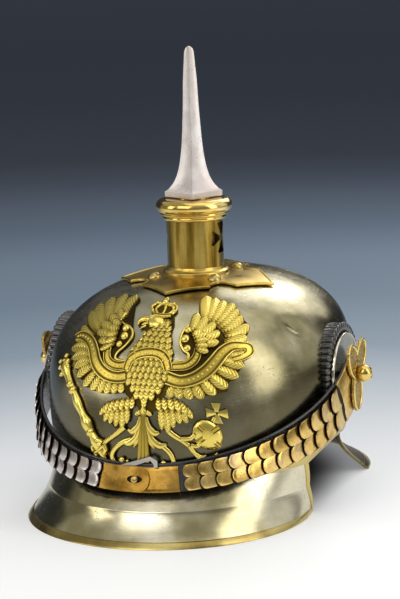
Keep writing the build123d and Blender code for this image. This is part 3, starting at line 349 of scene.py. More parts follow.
# The peak's steel is the skull's steel made lighter: a painted reflection of the pale floor in
# front of it.
BRIGHTENED_PEAK_STEEL = polished("brightened_peak_steel", (0.36, 0.31, 0.15), (0.58, 0.52, 0.32), (0.76, 0.71, 0.55),
                      rough=(0.15, 0.30), waves=0.3, grime=(0.10, 0.06, 0.05), spots=0.7)
GUARD_STEEL = polished("guard_steel", (0.07, 0.055, 0.03), (0.15, 0.12, 0.07), (0.26, 0.22, 0.15),
                       rough=(0.38, 0.55), waves=0.3, spots=0.6)
BRASS = polished("bright_brass", (0.58, 0.40, 0.10), (0.80, 0.59, 0.18), (0.92, 0.74, 0.32),
                 rough=(0.12, 0.26), waves=0.2, spots=0.3)
DULL_BRASS = polished("dull_brass", (0.24, 0.17, 0.045), (0.47, 0.36, 0.12),
                      (0.66, 0.54, 0.22), rough=(0.22, 0.42), waves=0.3, spots=0.5)
BASE_BRASS = polished("browned_brass", (0.24, 0.15, 0.025), (0.54, 0.37, 0.08),
                      (0.76, 0.56, 0.17), rough=(0.22, 0.42), waves=0.4, spots=0.5)
SILVER = polished("silvered", (0.50, 0.47, 0.38), (0.76, 0.72, 0.62), (0.90, 0.87, 0.80),
                  rough=(0.14, 0.30), waves=0.1)
FITTING_STEEL = polished("fitting_steel", (0.30, 0.28, 0.25), (0.48, 0.46, 0.43),
                         (0.62, 0.60, 0.57), rough=(0.25, 0.45))
SCALE_GOLD = tarnished_brass("golden_scales", 0.345, (0.30, 0.19, 0.055), (0.74, 0.50, 0.14),
                             (0.86, 0.62, 0.23), (0.44, 0.32, 0.25))
SCALE_MAUVE = tarnished_brass("mauve_scales", 0.42, (0.50, 0.40, 0.33), (0.78, 0.68, 0.63),
                              (0.90, 0.83, 0.80), (0.70, 0.52, 0.34))
HOOK_BRONZE = tarnished_brass("bronzed_hook", 0.345, (0.10, 0.048, 0.008), (0.30, 0.165, 0.028),
                              (0.48, 0.28, 0.055), (0.24, 0.14, 0.035))
NECK_BRASS = streaked_brass()
SPIKE_STEEL = spike_steel()
EAGLE_BRASS = stamped_brass()
TREFOIL_BRASS = granular_brass()
COCKADE_BLACK = glossy_black()
STRAP_BLACK = leather("black_leather", (0.005, 0.005, 0.006), (0.014, 0.013, 0.014),
                      (0.05, 0.045, 0.045), rough=0.3, coat=0.35)
LINING_RED = leather("dark_red_leather", (0.012, 0.006, 0.005), (0.034, 0.014, 0.012),
                     (0.07, 0.032, 0.026), grain=700.0)
LINER_BROWN = leather("brown_leather", (0.08, 0.045, 0.022), (0.19, 0.115, 0.065),
                      (0.31, 0.21, 0.125), rough=0.55, depth=0.2)
COTTON = cotton()


# Mesh helpers

def mix(first, second, share):
    """Value or point a share of the way from first to second."""
    return first + (second - first) * share


def skin(bm, across, along, place):
    """Grid of faces, each point put where place says for its two shares from 0 to 1."""
    made = bmesh.ops.create_grid(bm, x_segments=across, y_segments=along, size=0.5)["verts"]
    for vert in made:
        vert.co = place(vert.co.x + 0.5, vert.co.y + 0.5)
    return made


def walled(bm, columns, stations, place):
    """Closed wall: its section passes the stations in turn, and comes back to the first."""
    rows = len(stations)
    return skin(bm, columns, rows, lambda a, b: place(a, stations[round(b * rows) % rows]))


def cap_ends(bm, made, columns, rows):
    """Closes both ends of a wall whose section comes back beside itself."""
    for end in (0, columns):
        side = [made[row * (columns + 1) + end] for row in range(rows)]
        for low in range(rows // 2 - 1):
            bm.faces.new((side[low], side[low + 1], side[rows - 2 - low], side[rows - 1 - low]))


def two_skins(places, first, second):
    """Section of a sheet: the places along one skin, then back along the other."""
    return [(place, first) for place in places] + [(place, second) for place in reversed(places)]


def lofted(bm, columns, stations, place):
    """Open wall through the stations in turn."""
    rows = len(stations) - 1
    return skin(bm, columns, rows, lambda a, b: place(a, stations[round(b * rows)]))


def turned(bm, profile, place, steps=96):
    """Turned piece from a profile of (radius, distance along its axis)."""
    def point(a, b):
        radius, along = profile[round(b * (len(profile) - 1))]
        return place(radius * cos(tau * a), radius * sin(tau * a), along)
    return skin(bm, steps, len(profile) - 1, point)


def upright(height=0.0, across=0.0, along=0.0):
    """Places a turned piece's points round an upright axis."""
    return lambda x, y, z: Vector((across + x, along + y, height + z))


def arc(centre, radius, start, end, count=8):
    """Points of an arc in a profile, with its angles in degrees."""
    points = []
    for index in range(count + 1):
        turn = radians(mix(start, end, index / count))
        points.append((centre[0] + radius * cos(turn), centre[1] + radius * sin(turn)))
    return points


def smooth_path(points, count):
    """Points spaced along a smooth line through the given ones."""
    path = []
    last = len(points) - 1
    for index in range(count + 1):
        where = index / count * last
        base = min(int(where), last - 1)
        share = where - base
        first, second = Vector(points[base]), Vector(points[base + 1])
        before = Vector(points[max(base - 1, 0)])
        after = Vector(points[min(base + 2, last)])
        lead, trail = (second - before) / 2, (after - first) / 2
        square, cube = share ** 2, share ** 3
        path.append(first * (2 * cube - 3 * square + 1) + lead * (cube - 2 * square + share)
                    + second * (3 * square - 2 * cube) + trail * (cube - square))
    return path


def rotated(x, y, turn, middle=(0.0, 0.0)):
    """A flat point turned about a middle, in radians."""
    return (middle[0] + x * cos(turn) - y * sin(turn), middle[1] + x * sin(turn) + y * cos(turn))


def to_frame(bm):
    """Moves a mesh from the spike's axis and millimetres to the frame's place and metres."""
    bmesh.ops.transform(bm, verts=bm.verts, matrix=Matrix.Scale(MM, 4)
                        @ Matrix.Translation((0, SPIKE_Y, 0)))


def close_up(bm):
    """Merges the seams and poles, closes the open ends and turns the faces outward."""
    bmesh.ops.remove_doubles(bm, verts=bm.verts, dist=0.002)
    bmesh.ops.dissolve_degenerate(bm, edges=bm.edges, dist=0.0005)
    open_edges = [edge for edge in bm.edges if edge.is_boundary]
    if open_edges:
        bmesh.ops.holes_fill(bm, edges=open_edges, sides=0)
    bmesh.ops.recalc_face_normals(bm, faces=bm.faces)


def settle(name, bm, finish, slot, nodes=(), body="helmet", bevel=0.0, sharp=38.0):
    """Makes a named piece of the mesh, at the frame's place, and hands it to the frame."""
    close_up(bm)
    to_frame(bm)
    layers = bm.verts.layers.float_vector
    # Pieces in the scale finishes without their own layer for painted shade and grime get one that
    # leaves them clear of it.
    if finish in (SCALE_GOLD, SCALE_MAUVE, HOOK_BRONZE) and not layers.get("wear"):
        wear = layers.new("wear")
        for vert in bm.verts:
            vert[wear] = (1.0, 0.0, 0.0)
    mesh = bpy.data.meshes.new(name)
    bm.to_mesh(mesh)
    bm.free()
    mesh.shade_smooth()
    mesh.set_sharp_from_angle(angle=radians(sharp))
    piece = bpy.data.objects.new(name, mesh)
    bpy.context.scene.collection.objects.link(piece)
    mesh.materials.append(finish)
    if bevel:
        edge = piece.modifiers.new("edges", "BEVEL")
        edge.width = bevel * MM
        edge.segments = 2
        edge.limit_method = "ANGLE"
        edge.angle_limit = radians(sharp)
        edge.harden_normals = False
    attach(piece, body)
    if nodes:
        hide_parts(*nodes)
    return piece


def wall_piece(name, columns, stations, place, *looks, **more):
    """Piece that is one closed wall. Its looks are what settle takes after the mesh."""
    bm = bmesh.new()
    walled(bm, columns, stations, place)
    return settle(name, bm, *looks, **more)


def turned_piece(name, profile, place, steps, *looks, **more):
    """Piece that is one turned profile. Its looks are what settle takes after the mesh."""
    bm = bmesh.new()
    turned(bm, profile, place, steps)
    return settle(name, bm, *looks, **more)


def mirrored(point, side):
    """A point of a left fitting, on the left (1) or the right (-1) of the helmet."""
    return Vector((side * point[0], point[1], point[2]))


# The dome that the skull and all its mounts follow

def reach_at(height, side, out, drop):
    """Distance from the spike's axis to the dome on one side, at a height."""
    reach, widest, power = side
    top = TOP + out - drop
    if height >= widest:
        rise = min((height - widest) / (top - widest), 1.0)
        return (reach + out) * (1 - rise ** power) ** (1 / power)
    return reach + out - reach * TUCK_SHARE * ((widest - height) / TUCK_DEPTH) ** 2


def dome_outline(height, out=0.0, drop=0.0):
    """Half width, half length and centre of the dome's oval outline at a height."""
    side, front, rear = (reach_at(height, shape, out, drop) for shape in (SIDE, FRONT, REAR))
    return side, (front + rear) / 2, (rear - front) / 2


def oval_share(x, y, outline):
    """0 in the middle of an oval outline, 1 on it and more outside it."""
    half_width, half_length, centre = outline
    return (x / half_width) ** 2 + ((y - centre) / half_length) ** 2


def furthest(low, high, inside, steps):
    """The last value from low to high that is still inside, found by halving."""
    for _ in range(steps):
        middle = (low + high) / 2
        if inside(middle):
            low = middle
        else:
            high = middle
    return low


def dome_point(turn, height, out=0.0, drop=0.0):
    """Point of the dome at a turn round it from the front and a height."""
    half_width, half_length, centre = dome_outline(height, out, drop)
    return Vector((half_width * sin(turn), centre - half_length * cos(turn), height))


def dome_height(across, along, out=0.0):
    """Height at which the dome passes over a point in plan."""
    def inside(height):
        outline = dome_outline(height, out)
        return min(outline[:2]) > 0 and oval_share(across, along, outline) < 1
    return furthest(EDGE, TOP + out, inside, 26)


def dome_across(along, height, out=0.0):
    """Half width of the dome at a place along the helmet and a height."""
    half_width, half_length, centre = dome_outline(height, out)
    return half_width * sqrt(max(0.0, 1 - ((along - centre) / half_length) ** 2))


def dome_normal(point):
    """Outward direction of the dome near a point."""
    step = 0.5
    x, y, z = point

    def depth(x, y, z):
        return oval_share(x, y, dome_outline(min(z, TOP - step)))
    return Vector((depth(x + step, y, z) - depth(x - step, y, z),
                   depth(x, y + step, z) - depth(x, y - step, z),
                   depth(x, y, z + step) - depth(x, y, z - step))).normalized()


def ear_edge(along):
    """Height of the skull's lower edge, which arches over the ears."""
    beside = along - EAR_MIDDLE
    if abs(beside) >= EAR_HALF:
        return EDGE
    return EDGE + EAR_RISE - EAR_BALL + sqrt(EAR_BALL ** 2 - beside ** 2)


# Skull, the long dent in its left front, and its band

DENT = Vector((82.5, -32.0, 127.7))
DENT_ALONG = Vector((0.70, 0.44, -0.56)).normalized()
DENT_LONG = 8.0
DENT_WIDE = 4.4
DENT_DEPTH = 2.0
CROWN_SHARE = 0.9635
COLUMNS = 300
SKULL_ROWS = 64


def skull_point(a, station):
    """Point of the skull's outer or inner skin."""
    share, out = station
    turn = tau * a
    edge = ear_edge(dome_point(turn, EDGE).y)
    point = dome_point(turn, mix(edge, TOP + out, sin(pi / 2 * share)), out)
    beside = point - DENT
    if beside.length > 4 * DENT_LONG:
        return point
    along = beside.dot(DENT_ALONG)
    across = (beside - DENT_ALONG * along).length
    depth = DENT_DEPTH * exp(-(along / DENT_LONG) ** 2 - (across / DENT_WIDE) ** 2)
    return point - dome_normal(point) * depth


skull_shares = [index / SKULL_ROWS * CROWN_SHARE for index in range(SKULL_ROWS + 1)]
wall_piece("helmet_skull", COLUMNS, two_skins(skull_shares, 0.0, -SKULL_WALL), skull_point,
           STEEL, "steel", ["skull"])

BAND_HEIGHT = 6.0
BAND_SECTION = ((0.0, 0.1), (0.0, 0.7), (0.12, 0.95), (0.5, 1.0), (0.88, 0.95), (1.0, 0.7),
                (1.0, 0.1))


def band_point(a, station):
    """Point of the brass band round the skull's lower edge."""
    share, out = station
    turn = tau * a
    edge = ear_edge(dome_point(turn, EDGE).y)
    return dome_point(turn, edge + BAND_HEIGHT * share, out)


wall_piece("edge_band", COLUMNS, BAND_SECTION, band_point, DULL_BRASS, "brass", ["skull_band"])


# Front peak and neck guard

SHEET = 1.2
TRIM = 0.7
TRIM_HEIGHT = 4.0
LINING = 0.8
CREASE = 20.5


# Outlines of the brims: half width, half length, and middle across and along
PEAK_CREASE = (94.0, 108.0, -2.5, -20.0)
PEAK_RIM = (97.3, 94.3, -5.0, -50.0)
GUARD_RIM = (94.8, 84.3, 0.0, 80.0)
GUARD_WAIST = 4.5
# Places along the helmet of the brims' ends, at the skull's edge and at the floor
PEAK_ENDS = (-38.0, -30.0)
GUARD_ENDS = (42.0, 86.0)


def peak_ring(height, grow):
    """Outline of the front peak at a height."""
    width, length, centre = dome_outline(EDGE, -SKULL_WALL - GAP)
    if height >= CREASE:
        share = (EDGE - height) / (EDGE - CREASE)
        ends = (width, length, 0.0, centre), PEAK_CREASE
    else:
        share = (1 - height / CREASE) ** 1.3
        ends = PEAK_CREASE, PEAK_RIM
    half_width, half_length, across, middle = (mix(*pair, share) for pair in zip(*ends))
    return half_width + grow, half_length + grow, across, middle


def peak_end(height):
    """Place of the front peak's rear edge at a height."""
    return mix(*PEAK_ENDS, 1 - height / EDGE)


def guard_ring(height, grow):
    """Outline of the neck guard at a height."""
    width, length, centre = dome_outline(EDGE, -SKULL_WALL - GAP)
    fall = 1 - height / EDGE
    spread = fall ** 1.25
    half_width, half_length, across, middle = GUARD_RIM
    return (mix(width, half_width, fall) - GUARD_WAIST * sin(pi * fall) + grow,
            mix(length, half_length, spread) + grow, across, mix(centre, middle, spread))


def guard_end(height):
    """Place of the neck guard's front edge at a height."""
    return mix(*GUARD_ENDS, 1 - height / EDGE)


def brim_point(ring, end, inset, facing):
    """Gives a function for a brim's points, from its left end round to its right end."""
    def point(a, station):
        height, grow = station
        half_width, half_length, across, centre = ring(height, grow)
        along = end(height) + facing * inset
        reach = max(-1.0, min(1.0, (along - centre) / (facing * half_length)))
        widest = pi / 2 - asin(reach)
        turn = mix(-widest, widest, a)
        return Vector((across + half_width * sin(turn),
                       centre + facing * half_length * cos(turn), height))
    return point


def brim_edge(ring, end, side, facing):
    """Gives a function for the strip along one end of a brim."""
    def point(a, station):
        height = mix(EDGE, 0.0, a)
        grow, inset = station
        half_width, half_length, across, centre = ring(height, grow)
        along = end(height) + facing * inset
        reach = max(0.0, 1 - ((along - centre) / half_length) ** 2)
        return Vector((across + side * half_width * sqrt(reach), along, height))
    return point


EDGE_SECTION = ((0.7, 0.25), (0.45, 0.0), (-1.7, 0.0), (-2.1, 0.25), (-2.1, 3.8), (-1.9, 4.0),
                (0.5, 4.0), (0.7, 3.7))


def brim_sheet(name, heights, outer, inner, place, columns, *looks):
    """Sheet of a brim between two skins, closed at both ends."""
    bm = bmesh.new()
    section = two_skins(heights, outer, inner)
    cap_ends(bm, walled(bm, columns, section, place), columns, len(section))
    settle(name, bm, *looks)


def brim(name, part, short, ring, end, facing, creased, finish):
    """One brim: its steel sheet, the folded brass trim round its edges and its lining."""
    heights = [mix(EDGE, CREASE + 0.9, index / 9) for index in range(10)]
    if creased:
        heights += [CREASE + 0.35, CREASE, CREASE - 0.4]
    heights += [mix(CREASE - 1.0, TRIM + GAP, index / 16) for index in range(17)]
    brim_sheet(name, heights, 0.0, -SHEET, brim_point(ring, end, TRIM + GAP, facing), 200,
               finish, "steel", [part])

    trim = bmesh.new()
    rim = [(height, TRIM + out) for height, out in
           ((0.5, 0.0), (1.2, 0.12), (2.4, 0.12), (3.4, 0.0), (4.0, -0.25))]
    rim += [(4.0, -2.0), (3.6, -2.1), (0.3, -2.1), (0.0, -1.8), (0.0, 0.2), (0.15, 0.5)]
    walled(trim, 220, rim, brim_point(ring, end, 0.0, facing))
    close_up(trim)
    for side in (-1, 1):
        walled(trim, 40, EDGE_SECTION, brim_edge(ring, end, side, facing))
    settle(name + "_trim", trim, DULL_BRASS, "brass", [short + "_trim"], bevel=0.12)

    heights = [mix(EDGE, TRIM_HEIGHT + GAP, index / 12) for index in range(13)]
    brim_sheet(name + "_lining", heights, -SHEET - GAP, -SHEET - GAP - LINING,
               brim_point(ring, end, TRIM_HEIGHT + GAP, facing), 160, LINING_RED,
               "peak_lining", [short + "_lining"])


brim("front_peak", "front_visor", "visor", peak_ring, peak_end, -1, True, BRIGHTENED_PEAK_STEEL)
brim("rear_guard", "neck_guard", "neck_guard", guard_ring, guard_end, 1, False, GUARD_STEEL)


def flange_point(start, end):
    """Gives a function for a brim's upright flange inside the skull."""
    def point(a, station):
        height, out = station
        turn = mix(start, end, a)
        return dome_point(turn, height, out)
    return point


FLANGE_SECTION = ((37.0, -1.3), (44.0, -1.3), (44.0, -2.5), (37.0, -2.5))
for name, start, end in (("front_flange", -70, 70), ("rear_flange", 113, 247)):
    wall_piece(name, 120, FLANGE_SECTION, flange_point(radians(start), radians(end)), STEEL,
               "steel")


# Rivets through the band

RIVET_HEIGHT = 40.5
RIVET_SEAT = 0.15
RIVET_HEAD = [(0.0, -2.8), (1.9, -2.8), (1.9, -2.2), (1.2, -2.2), (1.2, 0.9), (2.0, 0.9),
              (2.0, 1.1)] + arc((0.0, -0.2), 2.35, 34, 90, 5)


def square_to(point, normal):
    """Places a turned piece's points round an axis along a normal."""
    turn = normal.to_track_quat("Z", "X").to_matrix()
    return lambda x, y, z: point + turn @ Vector((x, y, z))


for name, middle, node in (("peak_rivets", 0, "visor_rivets"),
                           ("guard_rivets", 180, "neck_guard_rivets")):
    bm = bmesh.new()
    for angle in (-60, -30, 0, 30, 60):
        seat = dome_point(radians(middle + angle), RIVET_HEIGHT)
        normal = dome_normal(seat)
        turned(bm, RIVET_HEAD, square_to(seat + normal * RIVET_SEAT, normal), 20)
    settle(name, bm, DULL_BRASS, "brass", [node])


# Cross base on the crown

BASE_OUT = 2.1
BASE_WALL = 1.2
ARM_REACH = 57.0


def arc_through(first, middle, last, count):
    """Points of a flat arc through three places."""
    (ax, ay), (bx, by), (cx, cy) = first, middle, last
    d = 2 * (ax * (by - cy) + bx * (cy - ay) + cx * (ay - by))
    ux = ((ax ** 2 + ay ** 2) * (by - cy) + (bx ** 2 + by ** 2) * (cy - ay)
          + (cx ** 2 + cy ** 2) * (ay - by)) / d
    uy = ((ax ** 2 + ay ** 2) * (cx - bx) + (bx ** 2 + by ** 2) * (ax - cx)
          + (cx ** 2 + cy ** 2) * (bx - ax)) / d
    radius = hypot(ax - ux, ay - uy)
    turns = [atan2(y - uy, x - ux) for x, y in (first, middle, last)]
    for index in (1, 2):
        while turns[index] - turns[index - 1] > pi:
            turns[index] -= tau
        while turns[index - 1] - turns[index] > pi:
            turns[index] += tau
    return [(ux + radius * cos(mix(turns[0], turns[2], index / count)),
             uy + radius * sin(mix(turns[0], turns[2], index / count)))
            for index in range(count + 1)]


half_arm = arc_through((0.0, ARM_REACH), (14.0, 46.5), (25.0, 39.0), 12)[:-1]
half_arm += arc_through((25.0, 39.0), (24.6, 33.0), (27.0, 27.0), 8)
arm_outline = [(-x, y) for x, y in reversed(half_arm)][:-1] + half_arm
base_outline = []
for quarter in range(4):
    turn = -radians(90 * quarter)
    base_outline += [rotated(x, y, turn) for x, y in arm_outline[:-1]]


def base_point(a, station):
    """Point of the cross base at a share of its outline and a distance in from its edge."""
    inset, out = station
    x, y = base_outline[round(a * len(base_outline)) % len(base_outline)]
    reach = hypot(x, y)
    share = max(reach - inset, CROWN_HOLE + (ARM_REACH - inset) * 0.01) / reach
    x, y = x * share, y * share
    return Vector((x, y, dome_height(x, y, out)))


base_rows = [(0.1, 0.9), (0.0, 1.15), (0.0, 2.1), (0.25, 2.4), (0.8, 2.62), (1.5, 2.55),
             (1.95, 2.2), (2.3, 2.0)]
base_rows += [(inset, BASE_OUT)
              for inset in (3.2, 5.0, 8.0, 12.0, 17.0, 23.0, 30.0, 37.0, 46.0)]
base_rows += [(inset, BASE_OUT - BASE_WALL) for inset in (46.0, 30.0, 17.0, 8.0, 3.0)]
wall_piece("cross_plate", len(base_outline), base_rows, base_point, BASE_BRASS, "brass",
           ["cross_base"], sharp=34)

STUD_CIRCLE = 31.3
bm = bmesh.new()
for quarter in range(4):
    turn = radians(45 + 90 * quarter)
    x, y = STUD_CIRCLE * cos(turn), STUD_CIRCLE * sin(turn)
    seat = Vector((x, y, dome_height(x, y, BASE_OUT)))
    head = [(0.0, -6.0), (1.6, -6.0), (1.6, -0.6), (4.3, -0.6), (4.8, -0.1), (4.8, 0.5)]
    head += arc((0.0, -2.2), 5.5, 29, 90, 9)
    under = Vector((x, y, dome_height(x, y) - 1))
    turned(bm, head, square_to(seat, dome_normal(under)), 40)
settle("crown_studs", bm, DULL_BRASS, "brass", ["base_studs"])


# Neck: foot ring, pierced tube, rolled collar

NECK = 19.5
FOOT = 157.8
NECK_TOP = 197.0
PETALS_HEIGHT = 182.0
PETAL = ((2.2, -0.9), (2.2, 0.9), (9.6, 5.2), (10.6, 4.4), (10.6, -4.4), (9.6, -5.2))

foot = [(19.6, 162.3), (19.6, 151.0), (23.1, 151.0), (23.1, 158.6), (22.9, 159.1),
        (22.2, 159.5), (21.3, 159.9), (20.6, 160.7), (20.2, 161.7), (19.9, 162.3),
        (19.6, 162.3)]
turned_piece("foot_ring", foot, upright(), 96, BASE_BRASS, "brass", ["neck_foot_ring"], sharp=50)


def pierced_tube():
    """Neck tube with a cross of four petals cut through each side."""
    heights = (FOOT, 176.0, 190.0, NECK_TOP)
    profile = [(NECK, height) for height in heights]
    profile += [(NECK - 1, height) for height in reversed(heights)] + [(NECK, FOOT)]
    tube = turned_piece("neck_pipe", profile, upright(), 120, NECK_BRASS, "brass", ["neck_tube"],
                        sharp=30)
    bm = bmesh.new()
    for quarter in range(4):
        turn = Matrix.Rotation(radians(90 * quarter), 4, "X")
        lift = Matrix.Translation((0, 0, PETALS_HEIGHT))
        corners = [bm.verts.new((-40.0, along, across)) for along, across in PETAL]
        face = bm.faces.new(corners)
        wide = bmesh.ops.extrude_face_region(bm, geom=[face])["geom"]
        moved = [item for item in wide if isinstance(item, bmesh.types.BMVert)]
        bmesh.ops.translate(bm, verts=moved, vec=(80.0, 0, 0))
        bmesh.ops.transform(bm, verts=corners + moved, matrix=lift @ turn)
    bmesh.ops.recalc_face_normals(bm, faces=bm.faces)
    to_frame(bm)
    mesh = bpy.data.meshes.new("petals")
    bm.to_mesh(mesh)
    bm.free()
    cutter = bpy.data.objects.new("petals", mesh)
    bpy.context.scene.collection.objects.link(cutter)
    cut = tube.modifiers.new("cut", "BOOLEAN")
    cut.operation = "DIFFERENCE"
    cut.solver = "EXACT"
    cut.object = cutter
    bpy.context.view_layer.update()
    done = bpy.data.meshes.new_from_object(
        tube.evaluated_get(bpy.context.evaluated_depsgraph_get()))
    tube.modifiers.remove(cut)
    tube.data = done
    bpy.data.objects.remove(cutter)


pierced_tube()

collar = [(19.6, 194.6), (21.2, 194.6), (21.7, 195.0), (22.0, 195.7), (22.0, 196.4),
          (21.8, 197.1), (21.4, 197.5), (21.3, 197.9), (23.3, 197.9), (23.8, 198.2),
          (24.0, 198.8), (23.8, 199.4)]
collar += arc((21.6, 203.95), 4.75, -62, 82, 18)
collar += [(21.2, 209.0), (12.1, 209.0), (12.1, 207.4), (18.6, 207.4), (18.6, 197.1),
           (19.6, 197.1), (19.6, 194.6)]
turned_piece("rolled_collar", collar, upright(), 128, BRASS, "brass", ["neck_collar"], sharp=42)


# Fluted spike

SPIKE_LOW = 209.7
SPIKE_TOP = 312.7
PLATE = 19.8
SPIKE_PROFILE = (
    (0.0, 0.955), (0.004, 1.0), (0.038, 1.0), (0.042, 0.955), (0.052, 0.872), (0.067, 0.803),
    (0.086, 0.716), (0.110, 0.641), (0.140, 0.567), (0.178, 0.505), (0.222, 0.450),
    (0.275, 0.404), (0.335, 0.367), (0.411, 0.333), (0.585, 0.278), (0.780, 0.237),
    (0.960, 0.167), (0.983, 0.128), (0.995, 0.074), (1.0, 0.02),
)
SPIKE_SIDE = 14
SPIKE_TURN = 19.0
PLATE_SHARE = 0.042
PLATE_HOLLOW, FLUTE_HOLLOW = 0.68, 0.6


def spike_rows():
    """Heights up the spike with its half diagonal and how hollow its sides are."""
    rows = []
    for (low, wide), (high, thin) in zip(SPIKE_PROFILE, SPIKE_PROFILE[1:]):
        steps = 1 if high < 0.05 else 3
        for step in range(steps):
            share = mix(low, high, step / steps)
            rows.append((share, mix(wide, thin, step / steps)))
    rows.append(SPIKE_PROFILE[-1])
    return rows


def spike_point(a, station):
    """Point of the spike's skin: four hollow sides that meet in sharp corners."""
    share, width = station
    around = a * 4
    quarter, part = int(around) % 4, around - int(around)
    diagonal = PLATE * width
    first = radians(SPIKE_TURN + 90 * quarter)
    hollow = PLATE_HOLLOW if share < PLATE_SHARE else FLUTE_HOLLOW
    start = Vector((cos(first), sin(first)))
    end = Vector((-sin(first), cos(first)))
    chord = mix(start, end, part)
    middle = (start + end) / 2
    sag = middle.length - hollow
    pull = 1 - (2 * part - 1) ** 2
    flat = (chord - middle.normalized() * sag * pull) * diagonal
    return Vector((flat.x, flat.y, mix(SPIKE_LOW, SPIKE_TOP, share)))


bm = bmesh.new()
lofted(bm, 4 * SPIKE_SIDE, spike_rows(), spike_point)
settle("fluted_spike", bm, SPIKE_STEEL, "steel", ["spike"], body="spike_head", bevel=0.22,
       sharp=40)


# Side fittings, worked out on the left pivot: pleated cockade, rim dish, trefoil and knob

PIVOT_Y = 5.0
PIVOT_Z = 90.0
PLEATS = 44
PLEAT_IN, PLEAT_OUT = 27.8, 34.5
PLEAT_LOW, PLEAT_HIGH = 102.2, 104.4
PLEAT_SECTION = ((0.0, -1), (0.0, 0.15), (0.08, 0.6), (0.25, 0.93), (0.5, 1.0), (0.7, 0.93),
                 (0.86, 0.7), (0.95, 0.4), (0.97, 0.1), (0.93, -0.2), (0.85, -1))


def fitting(side):
    """Places a turned piece's points round the pivot, with its axis outward."""
    return lambda x, y, z: mirrored((z, PIVOT_Y + x, PIVOT_Z + y), side)


def cockade_point(side):
    """Gives a function for the pleated ring's points."""
    def point(a, station):
        share, height = station
        part = (a * PLEATS) % 1.0
        crest = sqrt(max(0.0, 1 - (2 * part - 1) ** 2))
        radius = mix(PLEAT_IN, PLEAT_OUT, share) - (1 - crest) * 2.0 * max(0.0, share - 0.4) / 0.6
        y, z = PIVOT_Y + radius * cos(tau * a), PIVOT_Z + radius * sin(tau * a)
        floor_x = dome_across(y, z, GAP)
        if height == -1:
            return mirrored((floor_x, y, z), side)
        lift = mix(PLEAT_LOW, PLEAT_HIGH, height) - (1 - crest) * 1.5 * height
        return mirrored((max(floor_x + 0.2, lift), y, z), side)
    return point


LOBE_ANGLES = (50, 130, 270)
LOBE_OUT, LOBE_LONG, LOBE_WIDE = 11.8, 14.6, 9.4
TREFOIL_BACK = 112.5
TREFOIL_FACE = 113.8


def trefoil_reach(turn, inset):
    """Reach of the trefoil's outline from its middle at a turn."""
    reach = 8.5
    for angle in LOBE_ANGLES:
        away = turn - radians(angle)
        long, wide = LOBE_LONG - inset, LOBE_WIDE - inset
        a = (cos(away) / long) ** 2 + (sin(away) / wide) ** 2
        b = -2 * LOBE_OUT * cos(away) / long ** 2
        c = (LOBE_OUT / long) ** 2 - 1
        under = b * b - 4 * a * c
        if under > 0:
            reach = max(reach, (-b + sqrt(under)) / (2 * a))
    return reach


def trefoil(side):
    """Trefoil washer with raised borders round its three lobes."""
    bm = bmesh.new()
    relief = bm.verts.layers.float_vector.new("relief")
    rows = [(None, 0.0), (0.0, 0.0), (0.0, 1.3), (0.15, 1.9), (0.6, 2.2), (1.2, 2.2),
            (1.7, 1.9), (2.0, 1.35), (2.6, 1.3), (4.0, 1.35), (None, 1.4)]

    def point(a, station):
        inset, lift = station
        turn = tau * a
        reach = 3.1 if inset is None else max(trefoil_reach(turn, inset), 3.5)
        return mirrored((TREFOIL_BACK + lift, PIVOT_Y + reach * cos(turn),
                         PIVOT_Z + reach * sin(turn)), side)
    for vert in lofted(bm, 180, rows, point):
        vert[relief] = (0.0, 0.0, abs(vert.co.x) - TREFOIL_FACE)
    close_up(bm)
    hub = [(3.1, 1.3), (8.5, 1.3), (8.5, 1.9), (8.1, 2.2), (6.6, 2.25), (6.2, 2.0), (3.1, 2.0)]
    turned(bm, [(radius, TREFOIL_BACK + lift) for radius, lift in hub], fitting(side), 60)
    return bm


for side, word in ((1, "left"), (-1, "right")):
    wall_piece("pleated_cockade_" + word, PLEATS * 8, PLEAT_SECTION, cockade_point(side),
               COCKADE_BLACK, "cockade_black", ["cockade_" + word], sharp=50)

    dish = [(3.1, 104.0), (27.2, 104.0), (27.6, 104.4), (27.6, 105.6)]
    dish += arc((27.0, 105.6), 0.6, 0, 180, 6)
    dish += [(26.3, 105.1), (25.2, 104.95), (14.0, 104.9), (6.2, 104.95), (6.0, 105.3),
             (6.0, 108.8), (3.1, 108.8), (3.1, 104.0)]
    turned_piece("cockade_dish_" + word, dish, fitting(side), 110, SILVER, "silver",
                 ["cockade_rim_" + word])

    settle("trefoil_" + word, trefoil(side), TREFOIL_BRASS, "brass", ["rosette_" + word],
           sharp=45)

    knob = [(0.0, 98.4), (3.0, 98.4), (3.0, 114.8), (4.4, 114.8), (4.6, 115.4), (4.0, 116.0),
            (4.1, 116.6)]
    knob += arc((0.0, 118.6), 5.9, -42, 60, 12)
    knob += [(2.4, 123.3), (1.9, 123.7), (0.0, 123.8)]
    turned_piece("pivot_knob_" + word, knob, fitting(side), 60, BRASS, "brass",
                 ["rosette_bolt_" + word])


# Chin straps: a path round the front, from the middle (0) to the left pivot (90 degrees)

STRAP_HALF_WIDTH = 110.9
STRAP_HALF_LENGTH = 128.0
STRAP_FRONT_HEIGHT = 41.0
STRAP_LEAN = radians(20.0)
STRAP_NARROW, STRAP_WIDE = 18.0, 36.0


def strap_point(angle):
    """Point of the strap's outer face at an angle round the helmet, in degrees."""
    turn = radians(angle)
    part_way = abs(angle) / 90
    rise = 0.8 * part_way ** 2 + 0.2 * part_way ** 12
    return Vector((STRAP_HALF_WIDTH * sin(turn), PIVOT_Y - STRAP_HALF_LENGTH * cos(turn),
                   mix(STRAP_FRONT_HEIGHT, PIVOT_Z, rise)))


